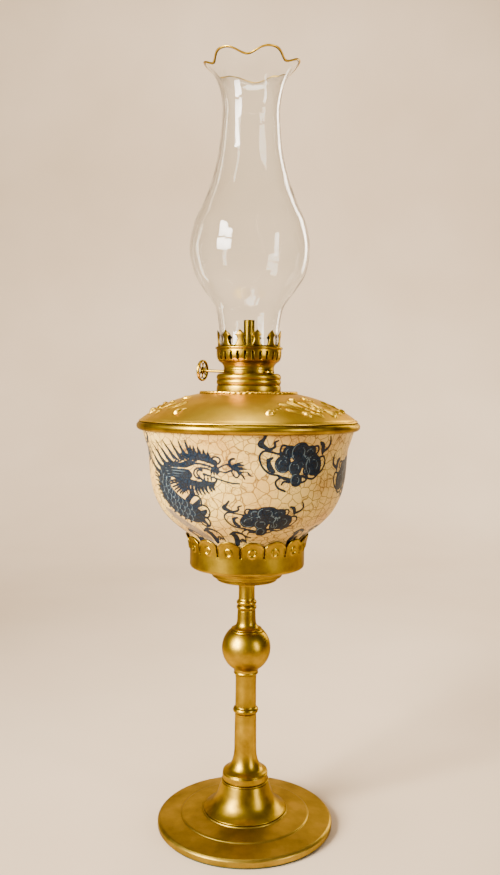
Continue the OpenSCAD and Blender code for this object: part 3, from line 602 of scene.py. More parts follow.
def stroke_depth(u, v, strokes):
    """How far each point (u, v) lies inside the nearest stroke, in mm, negative outside: its half-width less
    the distance to it."""
    depth = np.full(u.shape, DEPTH_OUTSIDE)
    for line in strokes:
        margin = 3 + line[:, 2].max()
        near = ((u > line[:, 0].min() - margin) & (u < line[:, 0].max() + margin)
                & (v > line[:, 1].min() - margin) & (v < line[:, 1].max() + margin))
        if near.any():
            away, half = away_from(np.stack([u[near], v[near]], axis=-1)[:, None], line)
            depth[near] = np.maximum(depth[near], (half - away).max(axis=1))
    return depth


def ring_stroke(x, y, radius, width, start=0, end=360, squash=1.0):
    """A stroke round an ellipse, from angle start to end in degrees."""
    a = np.radians(np.linspace(start, end, 19))
    return np.stack([x + radius * np.cos(a), y + squash * radius * np.sin(a), np.full(19, width)], axis=-1)


# %% [markdown]
# The dragon is this lamp's own. Its mane, beard and whiskers are fans of tapered strokes between two lines,
# and its body is a thick ribbon on which rows of scales are drawn in lighter ink.

# %% The dragon's head
def fan(tips, roots, count, bend, root_width, tip_width=0.22):
    """Tapered strokes from a line of roots to a line of tips, bowed sideways by bend millimetres."""
    strokes = []
    tips, roots = smooth_line(tips, 20), smooth_line(roots, 20)
    for share in np.linspace(0, 1, count):
        root, tip = roots[round(share * (len(roots) - 1))], tips[round(share * (len(tips) - 1))]
        run = tip - root
        size = hypot(*run)
        bow = np.array([-run[1], run[0]]) / size * bend
        mid, late = root + 0.4 * run + bow, root + 0.75 * run + 0.7 * bow
        strokes.append(stroke((*root, root_width), (*mid, root_width * 0.82), (*late, root_width * 0.5),
                              (*tip, tip_width)))
    return strokes


dragon = []
dragon += fan(tips=[(-99, 288), (-90, 293.5), (-79, 295.6), (-69, 297), (-59, 297), (-50, 297.6), (-43, 298)],
              roots=[(-66, 271), (-61, 274), (-56, 277), (-51, 279.6), (-46, 281.6), (-42, 283.4),
                     (-37, 285)],
              count=8, bend=1.8, root_width=1.7, tip_width=0.3)
dragon += fan(tips=[(-39.6, 294.6), (-34, 293.8), (-27, 290.4)],
              roots=[(-38, 286.5), (-31, 285.5), (-25, 284)],
              count=5, bend=0.9, root_width=1.7)
dragon += [
    # brow, eye and cheek
    stroke((-47, 286.5, 0.9), (-41, 286.6, 1.2), (-33, 285.6, 1.3), (-26, 284, 1.2), (-22, 282, 1.0)),
    stroke((-50, 287.6, 0.5), (-46, 288.6, 0.6), (-41, 287.0, 0.7), (-38, 285.0, 0.5)),
    stroke((-44, 281.5, 0.6), (-37, 282.2, 0.6), (-30, 281.6, 0.55), (-25, 280.2, 0.6)),
    stroke((-56, 281.5, 0.7), (-50, 282.2, 0.9), (-44, 282.6, 0.8), (-38, 282.2, 0.5)),
    # snout, upper teeth and nose
    stroke((-23.4, 279.2, 1.5), (-21.4, 278.4, 1.9), (-20.4, 277.2, 1.2)),
    stroke((-25.0, 277.6, 0.8), (-25.0, 275.6, 0.3)),
    stroke((-23.2, 277.0, 0.8), (-22.9, 274.9, 0.3)),
    stroke((-21.2, 276.6, 0.7), (-20.9, 275.0, 0.3)),
    stroke((-24.0, 283.6, 0.6), (-24.6, 285.8, 0.55), (-22.2, 287.3, 0.5), (-19.4, 286.4, 0.5),
           (-18.6, 284.3, 0.5), (-20.0, 282.6, 0.5)),
    stroke((-23, 284.2, 1.0), (-21.8, 283.4, 1.2), (-21.6, 281.2, 0.7)),
    # corner of the mouth and upper lip
    ring_stroke(-34.2, 275.6, 4.2, 0.5, 60, 290, 0.85),
    ring_stroke(-33.6, 275.8, 2.3, 0.5, 40, 250, 0.9),
    stroke((-33.0, 279.6, 0.45), (-29.5, 279.2, 0.5), (-26.5, 278.4, 0.45)),
    # lower jaw with its teeth, and the tongue
    stroke((-34.4, 273.8, 0.5), (-32.4, 271.6, 0.55), (-29.4, 269.9, 0.8), (-25.0, 269.2, 1.1),
           (-22.2, 270.0, 0.7), (-21.2, 272.0, 0.5), (-22.3, 273.0, 0.4)),
    stroke((-30.3, 273.0, 0.5), (-29.9, 271.4, 0.4)),
    stroke((-27.8, 272.8, 0.5), (-27.3, 271.0, 0.4)),
    stroke((-25.4, 272.9, 0.5), (-25.0, 271.2, 0.4)),
    stroke((-30.8, 275.2, 0.75), (-28.0, 274.7, 0.5), (-20, 272.2, 0.45), (-12.5, 270.1, 0.5),
           (-5.4, 269.4, 0.4)),
    # whiskers and the wisps in front of them
    stroke((-19.6, 279.8, 0.4), (-16, 281.8, 0.42), (-12.6, 282.0, 0.42), (-9.4, 280.3, 0.5)),
    stroke((-19.0, 277.6, 0.4), (-15.5, 276.8, 0.45), (-12.0, 278.0, 0.6), (-10.0, 279.0, 0.6)),
    stroke((-11.8, 281.4, 0.9), (-12.4, 284.2, 0.85), (-10.8, 286.0, 0.7), (-8.8, 286.2, 0.5)),
    stroke((-11.2, 278.0, 0.4), (-9.4, 274.8, 0.42), (-7.6, 273.6, 0.42), (-5.8, 275.2, 0.42),
           (-7.2, 277.6, 0.4)),
    stroke((-6.2, 277.4, 0.5), (-3.6, 275.0, 0.5), (-2.0, 272.6, 0.35)),
    stroke((0.4, 276.4, 0.6), (1.6, 275.0, 0.45), (3.6, 274.8, 0.3)),
]
dragon += [stroke((-10.8, 281 - 0.2 * k, 0.75), (-6.5, 283.2 - 1.35 * k, 0.5),
                  (-3.5 + 0.9 * k, 283.9 - 1.6 * k, 0.22))
           for k in range(5)]
dragon += fan(tips=[(-47, 261.4), (-41, 260.6), (-34, 260.6), (-28, 262), (-22.6, 264.4)],
              roots=[(-48, 270), (-42, 269), (-36, 267.8), (-30, 268.2), (-23.6, 268.8)],
              count=10, bend=-0.9, root_width=1.25, tip_width=0.35)
dragon += fan(tips=[(-62, 268.6), (-59, 264.6), (-55, 261.4), (-50, 260.4)],
              roots=[(-46, 273.4), (-45, 271.6), (-44.6, 270.4), (-44, 269.6)],
              count=7, bend=0.8, root_width=1.0, tip_width=0.5)
head_mass = [stroke((-67, 273.4, 2.6), (-60, 275.0, 3.4), (-53, 275.4, 4.2), (-46, 275.0, 3.8),
                    (-42, 274.0, 2.4)),
             stroke((-60, 279.6, 1.4), (-52, 280.8, 2.6), (-45, 281.4, 2.4), (-38, 282.4, 1.0)),
             stroke((-50, 270.6, 1.8), (-43, 269.4, 2.0), (-36, 268.6, 1.6), (-28, 268.6, 1.1)),
             stroke((-44, 285.4, 1.2), (-38, 286.6, 1.9), (-31, 286.0, 1.9), (-26, 284.6, 1.2))]
mane_light = [stroke((-66, 277.4 - 2.3 * k, 0.2), (-57, 278.2 - 2.0 * k, 0.26),
                     (-47 + k, 278.4 - 2.2 * k, 0.2))
              for k in range(4)]
bare_head = [stroke((-62, 279.4, 0.25), (-55, 277.8, 0.42), (-49, 278.6, 0.55), (-43, 278.4, 0.6),
                    (-38, 279.6, 0.3)),
             stroke((-56, 284.6, 0.3), (-51, 282.4, 0.55), (-46, 283.6, 0.5), (-42, 285.2, 0.25))]

# %% The dragon's body
def body_ribbon(spine, width, scale_step, side=1):
    """Dark ribbon, the bare lines that part its scales, and the spikes along its back. spine has (x, y,
    girth)."""
    line = smooth_line(spine, 14)
    run = np.gradient(line[:, :2], axis=0)
    run /= np.linalg.norm(run, axis=1)[:, None]
    across = np.stack([-run[:, 1], run[:, 0]], axis=-1) * side
    far = np.concatenate([[0], np.cumsum(np.linalg.norm(np.diff(line[:, :2], axis=0), axis=1))])
    dark = [np.column_stack([line[:, :2], line[:, 2] * width])]
    bare, spikes = [], []
    for place in np.arange(scale_step, far[-1] - scale_step, scale_step):
        x, y, girth, rx, ry, ax, ay = (np.interp(place, far, column)
                                       for column in np.column_stack([line, run, across]).T)
        for row, lane in enumerate((-0.62, 0.0, 0.62)):
            shift = scale_step * (0.5 if row % 2 else 0.0)
            cx, cy = x + ax * lane * girth * width + rx * shift, y + ay * lane * girth * width + ry * shift
            start = np.degrees(atan2(ry, rx))
            bare.append(ring_stroke(cx, cy, 0.33 * girth * width, 0.2, start - 105, start + 105))
        top = (x + ax * girth * width * 0.9, y + ay * girth * width * 0.9)
        spikes.append(stroke((*top, 0.9), (top[0] + ax * 1.6 - rx * 0.6, top[1] + ay * 1.6 - ry * 0.6, 0.6),
                             (top[0] + ax * 3.0 - rx * 2.0, top[1] + ay * 3.0 - ry * 2.0, 0.25)))
    return dark, bare, spikes


neck = body_ribbon([(-64, 276, 0.8), (-68.5, 268, 1.0), (-67, 260, 1.08), (-60.5, 254, 1.1),
                    (-52, 249.6, 1.05),
                    (-44.5, 246.8, 0.95), (-38.5, 245.4, 0.6)], 7.2, 4.6, side=-1)
back = body_ribbon([(-88, 228, 0.7), (-99, 240, 0.95), (-112, 258, 1.1), (-131, 277, 1.15), (-153, 281, 1.1),
                    (-171, 268, 1.05), (-185, 252, 1.0), (-204, 249, 0.9), (-219, 262, 0.8),
                    (-231, 279, 0.55)],
                   5.6, 4.8, side=1)
leg = [ring_stroke(-44.0, 261.0, 3.8, 0.5, -80, 160, 0.9), ring_stroke(-38.4, 256.0, 4.4, 0.5, -90, 150, 0.9),
       ring_stroke(-33.4, 249.0, 4.6, 0.55, -120, 130, 1.0),
       ring_stroke(-35.4, 241.4, 4.4, 0.55, -160, 100, 0.9)]
toes = [stroke((-46.0, 256.0, 2.0), (-42.4, 259.6, 1.6), (-41.6, 261.4, 1.0)),
        stroke((-41.6, 251.4, 2.2), (-37.4, 254.6, 1.7), (-36.0, 256.6, 0.9)),
        stroke((-38.0, 246.6, 2.2), (-33.8, 248.0, 1.8), (-31.6, 249.6, 0.9)),
        stroke((-38.4, 243.4, 2.0), (-35.6, 241.0, 1.6), (-34.0, 238.6, 0.9))]
side_hairs = fan(tips=[(-83, 273), (-83, 264), (-77, 256)], roots=[(-75, 269.5), (-74, 262), (-68, 254.6)],
                 count=7,
                 bend=-1.0, root_width=0.7)

# %% [markdown]
# Each cloud is a knot of round dark lobes, each with a thin curl of lighter ink in it, with a looped outline
# and a flame-like tail at each end. The same cloud, flattened, turned over or made larger, goes on round the
# bowl.

# %% Clouds and waves
LOBES = [(2.0, 8.0, 7.0, -40), (-6.4, 8.2, 4.8, 60), (10.0, 7.4, 5.2, 20), (14.2, -1.2, 7.4, -50),
         (-10.4, 0.0, 6.0, 30),
         (-1.0, -2.6, 5.2, -20), (6.4, 1.4, 4.4, 200), (0.0, -11.0, 4.6, -60), (8.2, -5.0, 3.2, 150)]


def cloud(x, y, wide=1.0, tall=1.0, flip=1):
    """Dark strokes and light strokes of one cloud about (x, y). flip = -1 mirrors it."""
    size = min(wide, tall)

    def at(*stations):
        return stroke(*[(x + flip * wide * a, y + tall * b, max(size * w, 0.4)) for a, b, w in stations])

    def arc(a, b, radius, start, end):
        line = ring_stroke(0, 0, radius, 0.24, start, end)
        return line * [flip * wide, tall, 1] + [x + flip * wide * a, y + tall * b, 0]

    dark, light = [], []
    for a, b, radius, turn in LOBES:
        half = radius * (wide - size) / wide
        dark.append(at((a - half, b, radius), (a + half, b, radius)))
        light.append(arc(a, b, 0.5 * radius, turn, turn + 150))
        light.append(arc(a, b, 0.88 * radius, turn + 150, turn + 270))
    dark += [
        at((-21, 2.6, 1.2), (-19.6, -2.2, 1.9), (-16.6, -5.0, 0.9)), at((-21, 2.8, 1.3), (-18.0, 4.4, 0.7)),
        at((-6, 11, 0.6), (-11.4, 13.0, 0.62), (-13.0, 9.4, 0.62), (-10.4, 5.4, 0.62)),
        at((9, 10.4, 0.62), (15.4, 12.0, 0.62), (17.4, 8.8, 0.62), (15.4, 5.6, 0.62)),
        at((19, 3.8, 0.62), (23.6, 4.4, 0.62), (25.4, 0.0, 0.62), (22.6, -5.0, 0.62), (18.6, -7.6, 0.6)),
        at((-11.4, 6.4, 0.62), (-15.4, 7.4, 0.62), (-19.4, 8.4, 0.62), (-24.4, 9.0, 0.62), (-27, 5.0, 0.62),
           (-25.0, -1.4, 0.62), (-20.0, -6.0, 0.62), (-13.4, -7.6, 0.62), (-9.0, -10.0, 0.62),
           (-4.6, -10.4, 0.62)),
        at((4.0, -8.0, 0.6), (8.0, -9.6, 0.62), (14.0, -10.6, 0.6), (19.0, -7.4, 0.6)),
        at((3.6, -13.0, 0.6), (7.6, -11.8, 0.62), (9.2, -8.8, 0.6)),
        at((-5.2, -10.0, 0.6), (-11.0, -8.8, 0.62), (-15.4, -11.8, 0.62), (-13.4, -16.0, 0.62),
           (-8.0, -18.4, 0.6)),
        at((-5.4, -12.2, 0.7), (-9.4, -11.8, 0.62), (-11.0, -13.6, 0.62)),
        at((-23.0, 20.4, 0.8), (-25.0, 16.6, 1.1), (-26.6, 13.8, 2.0), (-23.6, 11.6, 1.3), (-20.6, 9.8, 0.9)),
        at((-20.6, 10.0, 0.9), (-17.0, 12.0, 0.8), (-17.4, 14.8, 0.7), (-15.0, 16.2, 0.45)),
        at((17.6, 14.4, 0.7), (20.4, 12.4, 1.6), (21.6, 8.8, 1.6), (22.0, 6.6, 0.9)),
        at((21.8, 7.6, 1.1), (26.4, 10.2, 1.0), (27.6, 14.0, 0.8), (26.0, 18.4, 0.4))]
    return dark, light


def wave(x, y, size=1.0):
    """A rolling wave that rises from the collar: a dark crest, its outline, and two lines that follow it."""
    dark = [stroke((x - 9 * size, y + 4 * size, 0.5), (x - 3 * size, y + 6.6 * size, 0.9),
                   (x + 4 * size, y + 5.4 * size, 0.7),
                   (x + 8 * size, y + 2 * size, 0.6), (x + 8.6 * size, y - 3, 0.6)),
            stroke((x - 6 * size, y + 4.4 * size, 1.2), (x - 2.6 * size, y + 2 * size, 2.6),
                   (x - 2.4 * size, y - 3, 3.0))]
    return dark + [ring_stroke(x + 4.5 * size, y - 3, (1.6 + 1.7 * k) * size, 0.5, 20, 170) for k in range(2)]


clouds = [(34, 282.5, 0.98, 1.0, 1), (12.5, 242.6, 1.12, 0.72, 1), (98, 270, 1.05, 1.0, -1),
          (144, 243, 1.2, 0.75, 1),
          (160, 288, 0.8, 0.8, -1), (-110, 287, 0.85, 0.85, -1), (-152, 246, 0.9, 0.75, 1),
          (203, 273, 1.0, 1.0, 1)]
waves = [(-34, 229, 1.0), (-9, 228, 0.9), (56, 228, 0.9), (80, 228, 1.0), (116, 227, 0.9), (176, 228, 1.0),
         (200, 228, 0.9), (-128, 228, 1.0), (-104, 227, 0.8), (-178, 228, 1.0), (-62, 227, 0.8)]
cobalt = dragon + head_mass + neck[0] + neck[2] + back[0] + back[2] + leg + toes + side_hairs
light_ink = mane_light + neck[1] + back[1]
for x, y, wide, tall, flip in clouds:
    dark, light = cloud(x, y, wide, tall, flip)
    cobalt += dark
    light_ink += light
for x, y, size in waves:
    cobalt += wave(x, y, size)
grey_wash = [stroke((-78, 247, 1.4), (-69, 243, 3.6), (-60, 237, 4.4), (-50, 230, 4.6), (-45, 226, 4.0))]
print("brush strokes:", len(cobalt), "lighter strokes:", len(light_ink))

# %% [markdown]
# The bowl's grid has its lines twice as close at the front, where the finest brushwork is. The outside runs
# from the foot to the lip and the inside comes back down, and both ends meet on the foot, so the bowl is
# closed.

# %% The bowl
bowl_low, bowl_top = levels("porcelain_bowl")
outside = smooth_line(above(
    bowl_low, (39.5, 0), (39.6, 9), (41.3, 17.5), (45.4, 23.9), (51, 28.2), (56, 32.3), (60.4, 36.8),
    (64, 41.2),
    (66.7, 46), (68.9, 50.8), (70.5, 55.3), (72.4, 64), (73.2, 71), (73.8, 80), (74.6, 87), (76, 91.4),
    (77.5, 96),
    (79, 101.2), (79.2, 104.6)), 7)
inside = smooth_line([
    *above(bowl_top, (78.6, 0), (76, -0.3), (75.2, -3), (70.8, -20), (69.6, -34), (66.2, -52), (56, -68)),
    *above(bowl_low, (42, 26), (34, 11), (26, 8.6), (ROD_BORE, 8.5))], 2)
foot_line = above(bowl_low, (ROD_BORE, 4), (34.4, 4), (34.6, 0.3))
ROWS_OUTSIDE = 122
far = np.concatenate([[0], np.cumsum(np.hypot(*np.diff(outside, axis=0).T))])
even = np.linspace(0, far[-1], ROWS_OUTSIDE)
outside = np.stack([np.interp(even, far, outside[:, 0]), np.interp(even, far, outside[:, 1])], axis=-1)
bowl_profile = np.vstack([foot_line, outside, inside])
FRONT = radians(72)
bowl_angle = np.concatenate([np.linspace(-FRONT, FRONT, 400, endpoint=False),
                             np.linspace(FRONT, 2 * pi - FRONT, 280, endpoint=False)])
radius, level = bowl_profile[:, :1], bowl_profile[:, 1:]
bowl_points = np.stack([radius * np.sin(bowl_angle), -radius * np.cos(bowl_angle), level + 0 * bowl_angle],
                       axis=-1)
bowl = closed_solid("bowl_painted", bowl_points)


def add_attribute(piece, name, values):
    """Keeps one number for each point of a piece, for its material to read."""
    piece.data.attributes.new(name, "FLOAT", "POINT").data.foreach_set("value", values.astype(np.float32))


def points_of(piece):
    """The points of a piece's mesh, in millimetres."""
    flat = np.empty(len(piece.data.vertices) * 3, dtype=np.float32)
    piece.data.vertices.foreach_get("co", flat)
    return flat.reshape(-1, 3) / MM


x, y, z = points_of(bowl).T
around = np.arctan2(x, -y) * PAINT_R
skin = np.hypot(x, y) > np.interp(z, outside[:, 1], outside[:, 0]) - 1.5
cobalt_depth, bare_depth, light_depth, wash_depth = (
    stroke_depth(around, z, strokes) for strokes in (cobalt, bare_head, light_ink, grey_wash))
add_attribute(bowl, "cobalt", np.where(skin, np.minimum(cobalt_depth, -bare_depth), DEPTH_OUTSIDE))
add_attribute(bowl, "light_ink", light_depth)
add_attribute(bowl, "wash", np.where(skin, wash_depth, DEPTH_OUTSIDE))

# %% [markdown]
# ### Crackle glaze
#
# Voronoi cells make the net of cracks: the distance to the nearest cell edge is zero along the lines. The net
# is drawn twice, with wide cells 6 to 7 mm across and fainter ones of 3 to 4 mm, and the coordinates are
# shaken by noise, because real cracks wander. An old glaze is dulled by fine wear, so its shine is soft and
# low.

# %% Crackle-glazed porcelain
def depth_mask(tree, name, soft_mm):
    """1 where a point lies inside the brush strokes of the named attribute, with an edge soft_mm wide."""
    depth = add_node(tree, "Attribute", {"attribute_name": name}).outputs["Fac"]
    return add_node(tree, "MapRange", Value=depth, From_Min=-soft_mm, From_Max=soft_mm)


def crackle(tree, place, cell_mm, line_mm, shake_mm):
    """1 along a net of cracks round cells of cell_mm, fading to 0 within line_mm."""
    shake = add_node(tree, "TexNoise", Vector=place, Scale=per_mm(cell_mm * 0.9), Detail=3, Roughness=0.55)
    centred = add_node(tree, "VectorMath", SUBTRACT, in0=shake.outputs["Color"], in1=(0.5, 0.5, 0.5))
    moved = add_node(tree, "VectorMath", {"operation": "SCALE"}, in0=centred, Scale=2 * shake_mm * MM)
    shaken = add_node(tree, "VectorMath", {"operation": "ADD"}, in0=place, in1=moved)
    cells = add_node(tree, "TexVoronoi", {"feature": "DISTANCE_TO_EDGE"}, Vector=shaken,
                     Scale=per_mm(cell_mm))
    return add_node(tree, "MapRange", Value=cells, From_Min=0.0, From_Max=line_mm / cell_mm, To_Min=1.0,
                    To_Max=0.0)


def crackle_porcelain():
    """Cream glaze with stained cracks, over cobalt painting with ragged brush edges."""
    material, tree, shader, place = new_material("crackle_glazed_porcelain", Roughness=0.42,
                                                 Coat_Roughness=0.08,
                                                 Specular_IOR_Level=0.08, Coat_Weight=0.03)
    clouded = add_node(tree, "TexNoise", Vector=place, Scale=per_mm(26), Detail=4, Roughness=0.55)
    clouded = add_node(tree, "ValToRGB", stops=[(0.35, 0.0), (0.68, 1.0)], Fac=clouded)
    body = add_node(tree, "Mix", MIX, in0=clouded, in6="#E0BC64", in7="#C8984A")
    speck = add_node(tree, "TexNoise", Vector=place, Scale=per_mm(1.6), Detail=6, Roughness=0.7)
    speck = add_node(tree, "ValToRGB", stops=[(0.56, 0.0), (0.74, 0.4)], Fac=speck)
    body = add_node(tree, "Mix", MIX, in0=speck, in6=body, in7="#B58642")

    wide = add_node(tree, "Math", MULTIPLY, in0=crackle(tree, place, 6.6, 0.46, 1.5), in1=0.9)
    patch = add_node(tree, "TexNoise", Vector=place, Scale=per_mm(15), Detail=2)
    patch = add_node(tree, "ValToRGB", stops=[(0.45, 0.1), (0.62, 0.8)], Fac=patch)
    fine = add_node(tree, "Math", MULTIPLY, in0=crackle(tree, place, 3.4, 0.2, 0.8), in1=patch)
    cracks = add_node(tree, "Math", {"operation": "MAXIMUM"}, in0=wide, in1=fine)
    body = add_node(tree, "Mix", MIX, in0=cracks, in6=body, in7="#5E3A16")

    streak = add_node(tree, "TexNoise", Vector=place, Scale=per_mm(1.1), Detail=4, Roughness=0.6,
                      Distortion=0.8)
    pooled = add_node(tree, "ValToRGB", stops=[(0.4, 0.0), (0.66, 1.0)], Fac=streak)
    cobalt_blue = add_node(tree, "Mix", MIX, in0=pooled, in6="#000A14", in7="#042236")
    thin = add_node(tree, "Math", MULTIPLY, in0=depth_mask(tree, "light_ink", 0.16), in1=0.8)
    cobalt_blue = add_node(tree, "Mix", MIX, in0=thin, in6=cobalt_blue, in7="#66767A")
    brush_edge = add_node(tree, "MapRange", Value=streak, To_Min=-0.16, To_Max=0.16)
    depth = add_node(tree, "Attribute", {"attribute_name": "cobalt"}).outputs["Fac"]
    ragged = add_node(tree, "Math", {"operation": "ADD"}, in0=depth, in1=brush_edge)
    ink = add_node(tree, "MapRange", Value=ragged, From_Min=-0.32, From_Max=-0.04, To_Max=0.98)

    dry_brush = add_node(tree, "ValToRGB", stops=[(0.36, 0.55), (0.6, 0.95)], Fac=streak)
    wash = add_node(tree, "Math", MULTIPLY, in0=depth_mask(tree, "wash", 0.5), in1=dry_brush)
    body = add_node(tree, "Mix", MIX, in0=wash, in6=body, in7="#6C6158")
    colour = add_node(tree, "Mix", MIX, in0=ink, in6=body, in7=cobalt_blue)

    wavy = add_node(tree, "TexNoise", Vector=place, Scale=per_mm(9), Detail=2)
    groove = add_node(tree, "Math", MULTIPLY, in0=cracks, in1=0.25)
    height = add_node(tree, "Math", SUBTRACT, in0=wavy, in1=groove)
    relief = add_node(tree, "Bump", Height=height, Distance=0.25 * MM, Strength=0.5)
    set_inputs(shader, Base_Color=colour, Normal=relief)
    return material


porcelain = crackle_porcelain()
finish_piece(bowl, "stand", "porcelain", porcelain, "porcelain_bowl")

# %% [markdown]
# ## Rim, lid and sprays
#
# A rolled bead of brass binds the bowl's lip. The domed lid was spun: nearly flat in the middle and steep at
# its edge, where a thin turned line parts it from the bead. Both are profiles carried round, like the stand.

# %% Rim bead
rim_low, rim_top = levels("bowl_rim")
RIM_R = reach("bowl_rim")
BEAD_R = 3.2
bead_z, bead_c = rim_top - 3.0, RIM_R - BEAD_R
leg_in, leg_out = bead_c - 5.7, bead_c - 4.9
rim_line = np.vstack([arc_line((bead_c, bead_z), BEAD_R, -84, 62, 18), [[bead_c + 1.1, rim_top - 0.1]],
                      [[leg_in, rim_top], [leg_in, rim_low], [leg_out, rim_low], [leg_out, rim_top - 0.75],
                       [bead_c - 0.4, rim_top - 0.75], [bead_c - 0.4, bead_z - BEAD_R + 0.1]]])
rim = closed_solid("rim_bead", revolved(rim_line, 256))
finish_piece(rim, "stand", *satin, "bowl_rim")

# %% Lid
LID_EDGE_R = reach("lid")
LID_EDGE_Z = rim_top + 0.2
LID_TOP = levels("lid")[1]
LAND_R, NECK_R, LID_SHEET = 24.6, 19.0, 0.8
DOME_POWER, EDGE_STEP = 2.9, 0.6
LID_RISE = (LID_TOP - LID_EDGE_Z - EDGE_STEP) / (1 - (LAND_R / LID_EDGE_R) ** DOME_POWER)


def lid_height(r):
    """Height of the lid's outside at radius r: h = edge + step + rise (1 - (r / R)^2.9)."""
    return LID_EDGE_Z + EDGE_STEP + LID_RISE * (1 - (r / LID_EDGE_R) ** DOME_POWER)


dome_r = np.linspace(79.4, LAND_R, 60)
edge_line = broken_corners([[79.0, LID_EDGE_Z], [LID_EDGE_R, LID_EDGE_Z], [LID_EDGE_R, LID_EDGE_Z + 0.7],
                            [80.3, LID_EDGE_Z + 1.5], [79.9, LID_EDGE_Z + 1.4], [79.4, lid_height(79.4)]],
                           0.25)
dome = np.stack([dome_r, lid_height(dome_r)], axis=-1)
under = np.stack([dome_r - 0.5, lid_height(dome_r) - LID_SHEET], axis=-1)[::-1]
lid_line = np.vstack([edge_line, dome[1:], [[NECK_R, LID_TOP], [NECK_R, LID_TOP - LID_SHEET]], under])
lid = closed_solid("lid_spun", revolved(lid_line, 256))
hem_r, hem_low = leg_in - 0.3, levels("lid")[0]
hem_line = np.array([[hem_r, hem_low], [hem_r, lid_height(hem_r) - 0.6],
                     [hem_r - 0.8, lid_height(hem_r) - 0.6],
                     [hem_r - 0.8, hem_low]])
hem = closed_solid("lid_hem", revolved(hem_line, 160))
finish_piece(lid, "font_unit", "brass", lid_brass, "lid")
finish_piece(hem, "font_unit", *satin)

# %% [markdown]
# ### Rope ring
#
# Two strands twisted round each other have a cross-section that is long in one direction and short in the
# other, and that turns as it goes along. So the tube's radius is larger where its angle agrees with the
# twist.

# %% Rope ring
ROPE_R, ROPE_TWISTS = 35.5, 27
rope_size = reach("rope_ring") - ROPE_R
around_ring, around_rope = np.meshgrid(circle(864), circle(14))
rope_rho = rope_size * (0.58 + 0.42 * np.abs(np.cos(around_rope - ROPE_TWISTS * around_ring)))
rope_points = round_axis(ROPE_R + rope_rho * np.cos(around_rope), around_ring,
                         lid_height(ROPE_R) + 0.55 + rope_rho * np.sin(around_rope))
rope = closed_solid("rope_ring_twisted", rope_points)
finish_piece(rope, "font_unit", "brass", lid_brass, "rope_ring")

# %% [markdown]
# ### Sprays of blossom
#
# The sprays were stamped apart and soldered on. Each is a height over the lid: every stem, petal and berry is
# a tapered stroke whose section is a half circle, and the highest stroke wins. A patch dips just under the
# lid wherever no stroke reaches, so only the sprays show. Its ends are pinched to a point and its foot closes
# it.

# %% Sprays
SPRAY_R = 62.0
right_spray = [
    [(-36.5, 70.4, 2.5), (-35.7, 70.4, 2.5)], [(-38.0, 69.6, 0.5), (-38.4, 71.4, 0.5), (-36.6, 73.2, 0.5)],
    [(-33.6, 67.4, 0.5), (-31.0, 65.8, 0.65), (-28.0, 63.8, 0.6), (-26.0, 62.2, 0.5)],
    [(-30.4, 67.0, 0.7), (-29.8, 67.0, 0.7)], [(-27.6, 65.6, 0.65), (-27.0, 65.6, 0.65)],
    [(-26.4, 59.8, 0.9), (-22.0, 62.2, 1.2), (-17.0, 64.6, 0.9), (-12.6, 66.9, 0.55)],
    [(-25.6, 58.4, 0.8), (-20.0, 61.0, 0.9), (-14.2, 64.4, 0.7), (-11.6, 65.8, 0.5)],
    [(-17.2, 55.4, 0.7), (-14.6, 58.8, 0.9), (-12.2, 62.4, 0.8), (-10.4, 65.4, 0.5)],
    [(-18.8, 56.6, 0.5), (-15.6, 60.6, 0.5), (-13.4, 63.8, 0.4)],
    [(-24.2, 66.6, 0.9), (-20.4, 68.6, 1.1), (-16.4, 71.2, 0.9)],
    [(-23.4, 68.4, 0.6), (-19.6, 70.4, 0.8), (-16.0, 72.6, 0.6)],
    [(-14.2, 70.2, 1.0), (-12.6, 72.4, 1.7), (-11.2, 74.4, 0.9)],
    [(-12.0, 51.6, 1.6), (-10.8, 53.8, 1.9), (-9.4, 56.6, 0.5)], [(-13.4, 54.4, 0.6), (-11.8, 56.0, 0.6)],
    [(4.8, 50.6, 1.7), (5.2, 52.2, 1.8)], [(9.6, 54.0, 1.0), (10.4, 55.6, 0.9)],
    [(-8.4, 56.8, 0.6), (-6.8, 60.4, 0.9), (-5.6, 64.4, 0.6)],
    [(-5.4, 56.0, 0.6), (-4.8, 60.6, 1.0), (-4.6, 64.0, 0.6)],
    [(-2.4, 56.2, 0.6), (-3.0, 60.0, 0.9), (-3.8, 63.4, 0.6)],
    [(0.8, 58.4, 0.7), (0.6, 61.6, 1.3), (-0.4, 64.4, 0.8)], [(-9.2, 66.4, 0.8), (-8.2, 68.0, 0.8)],
    [(-3.8, 65.0, 0.9), (-1.8, 67.0, 2.0), (-0.4, 68.6, 1.5)],
    [(0.8, 66.2, 1.0), (2.0, 68.2, 1.5), (2.2, 69.4, 1.0)],
    [(4.0, 57.2, 0.6), (4.6, 61.4, 1.0), (3.8, 66.4, 0.8), (2.6, 69.8, 0.5)],
    [(6.4, 60.4, 0.5), (6.4, 64.4, 0.8), (5.2, 68.4, 0.6)],
    [(-7.4, 69.4, 0.6), (-6.4, 71.2, 1.0), (-5.8, 73.6, 0.5)],
    [(-4.6, 71.4, 0.7), (-3.2, 73.2, 1.3), (-2.4, 75.0, 0.8)],
    [(6.6, 66.8, 0.7), (8.0, 70.2, 1.4), (9.2, 73.4, 2.1), (9.6, 74.6, 1.7)],
    [(23.6, 56.6, 0.8), (25.2, 59.0, 1.2), (25.8, 61.4, 0.5)],
    [(27.8, 61.6, 0.6), (29.4, 64.4, 1.2), (30.2, 67.4, 0.6)], [(30.0, 69.4, 1.6), (30.6, 71.0, 1.9)],
    [(14.8, 60.4, 0.6), (16.6, 63.6, 1.0), (17.2, 67.0, 0.6)],
    [(17.6, 69.8, 0.9), (19.4, 71.6, 1.5), (20.0, 73.2, 0.9)],
]
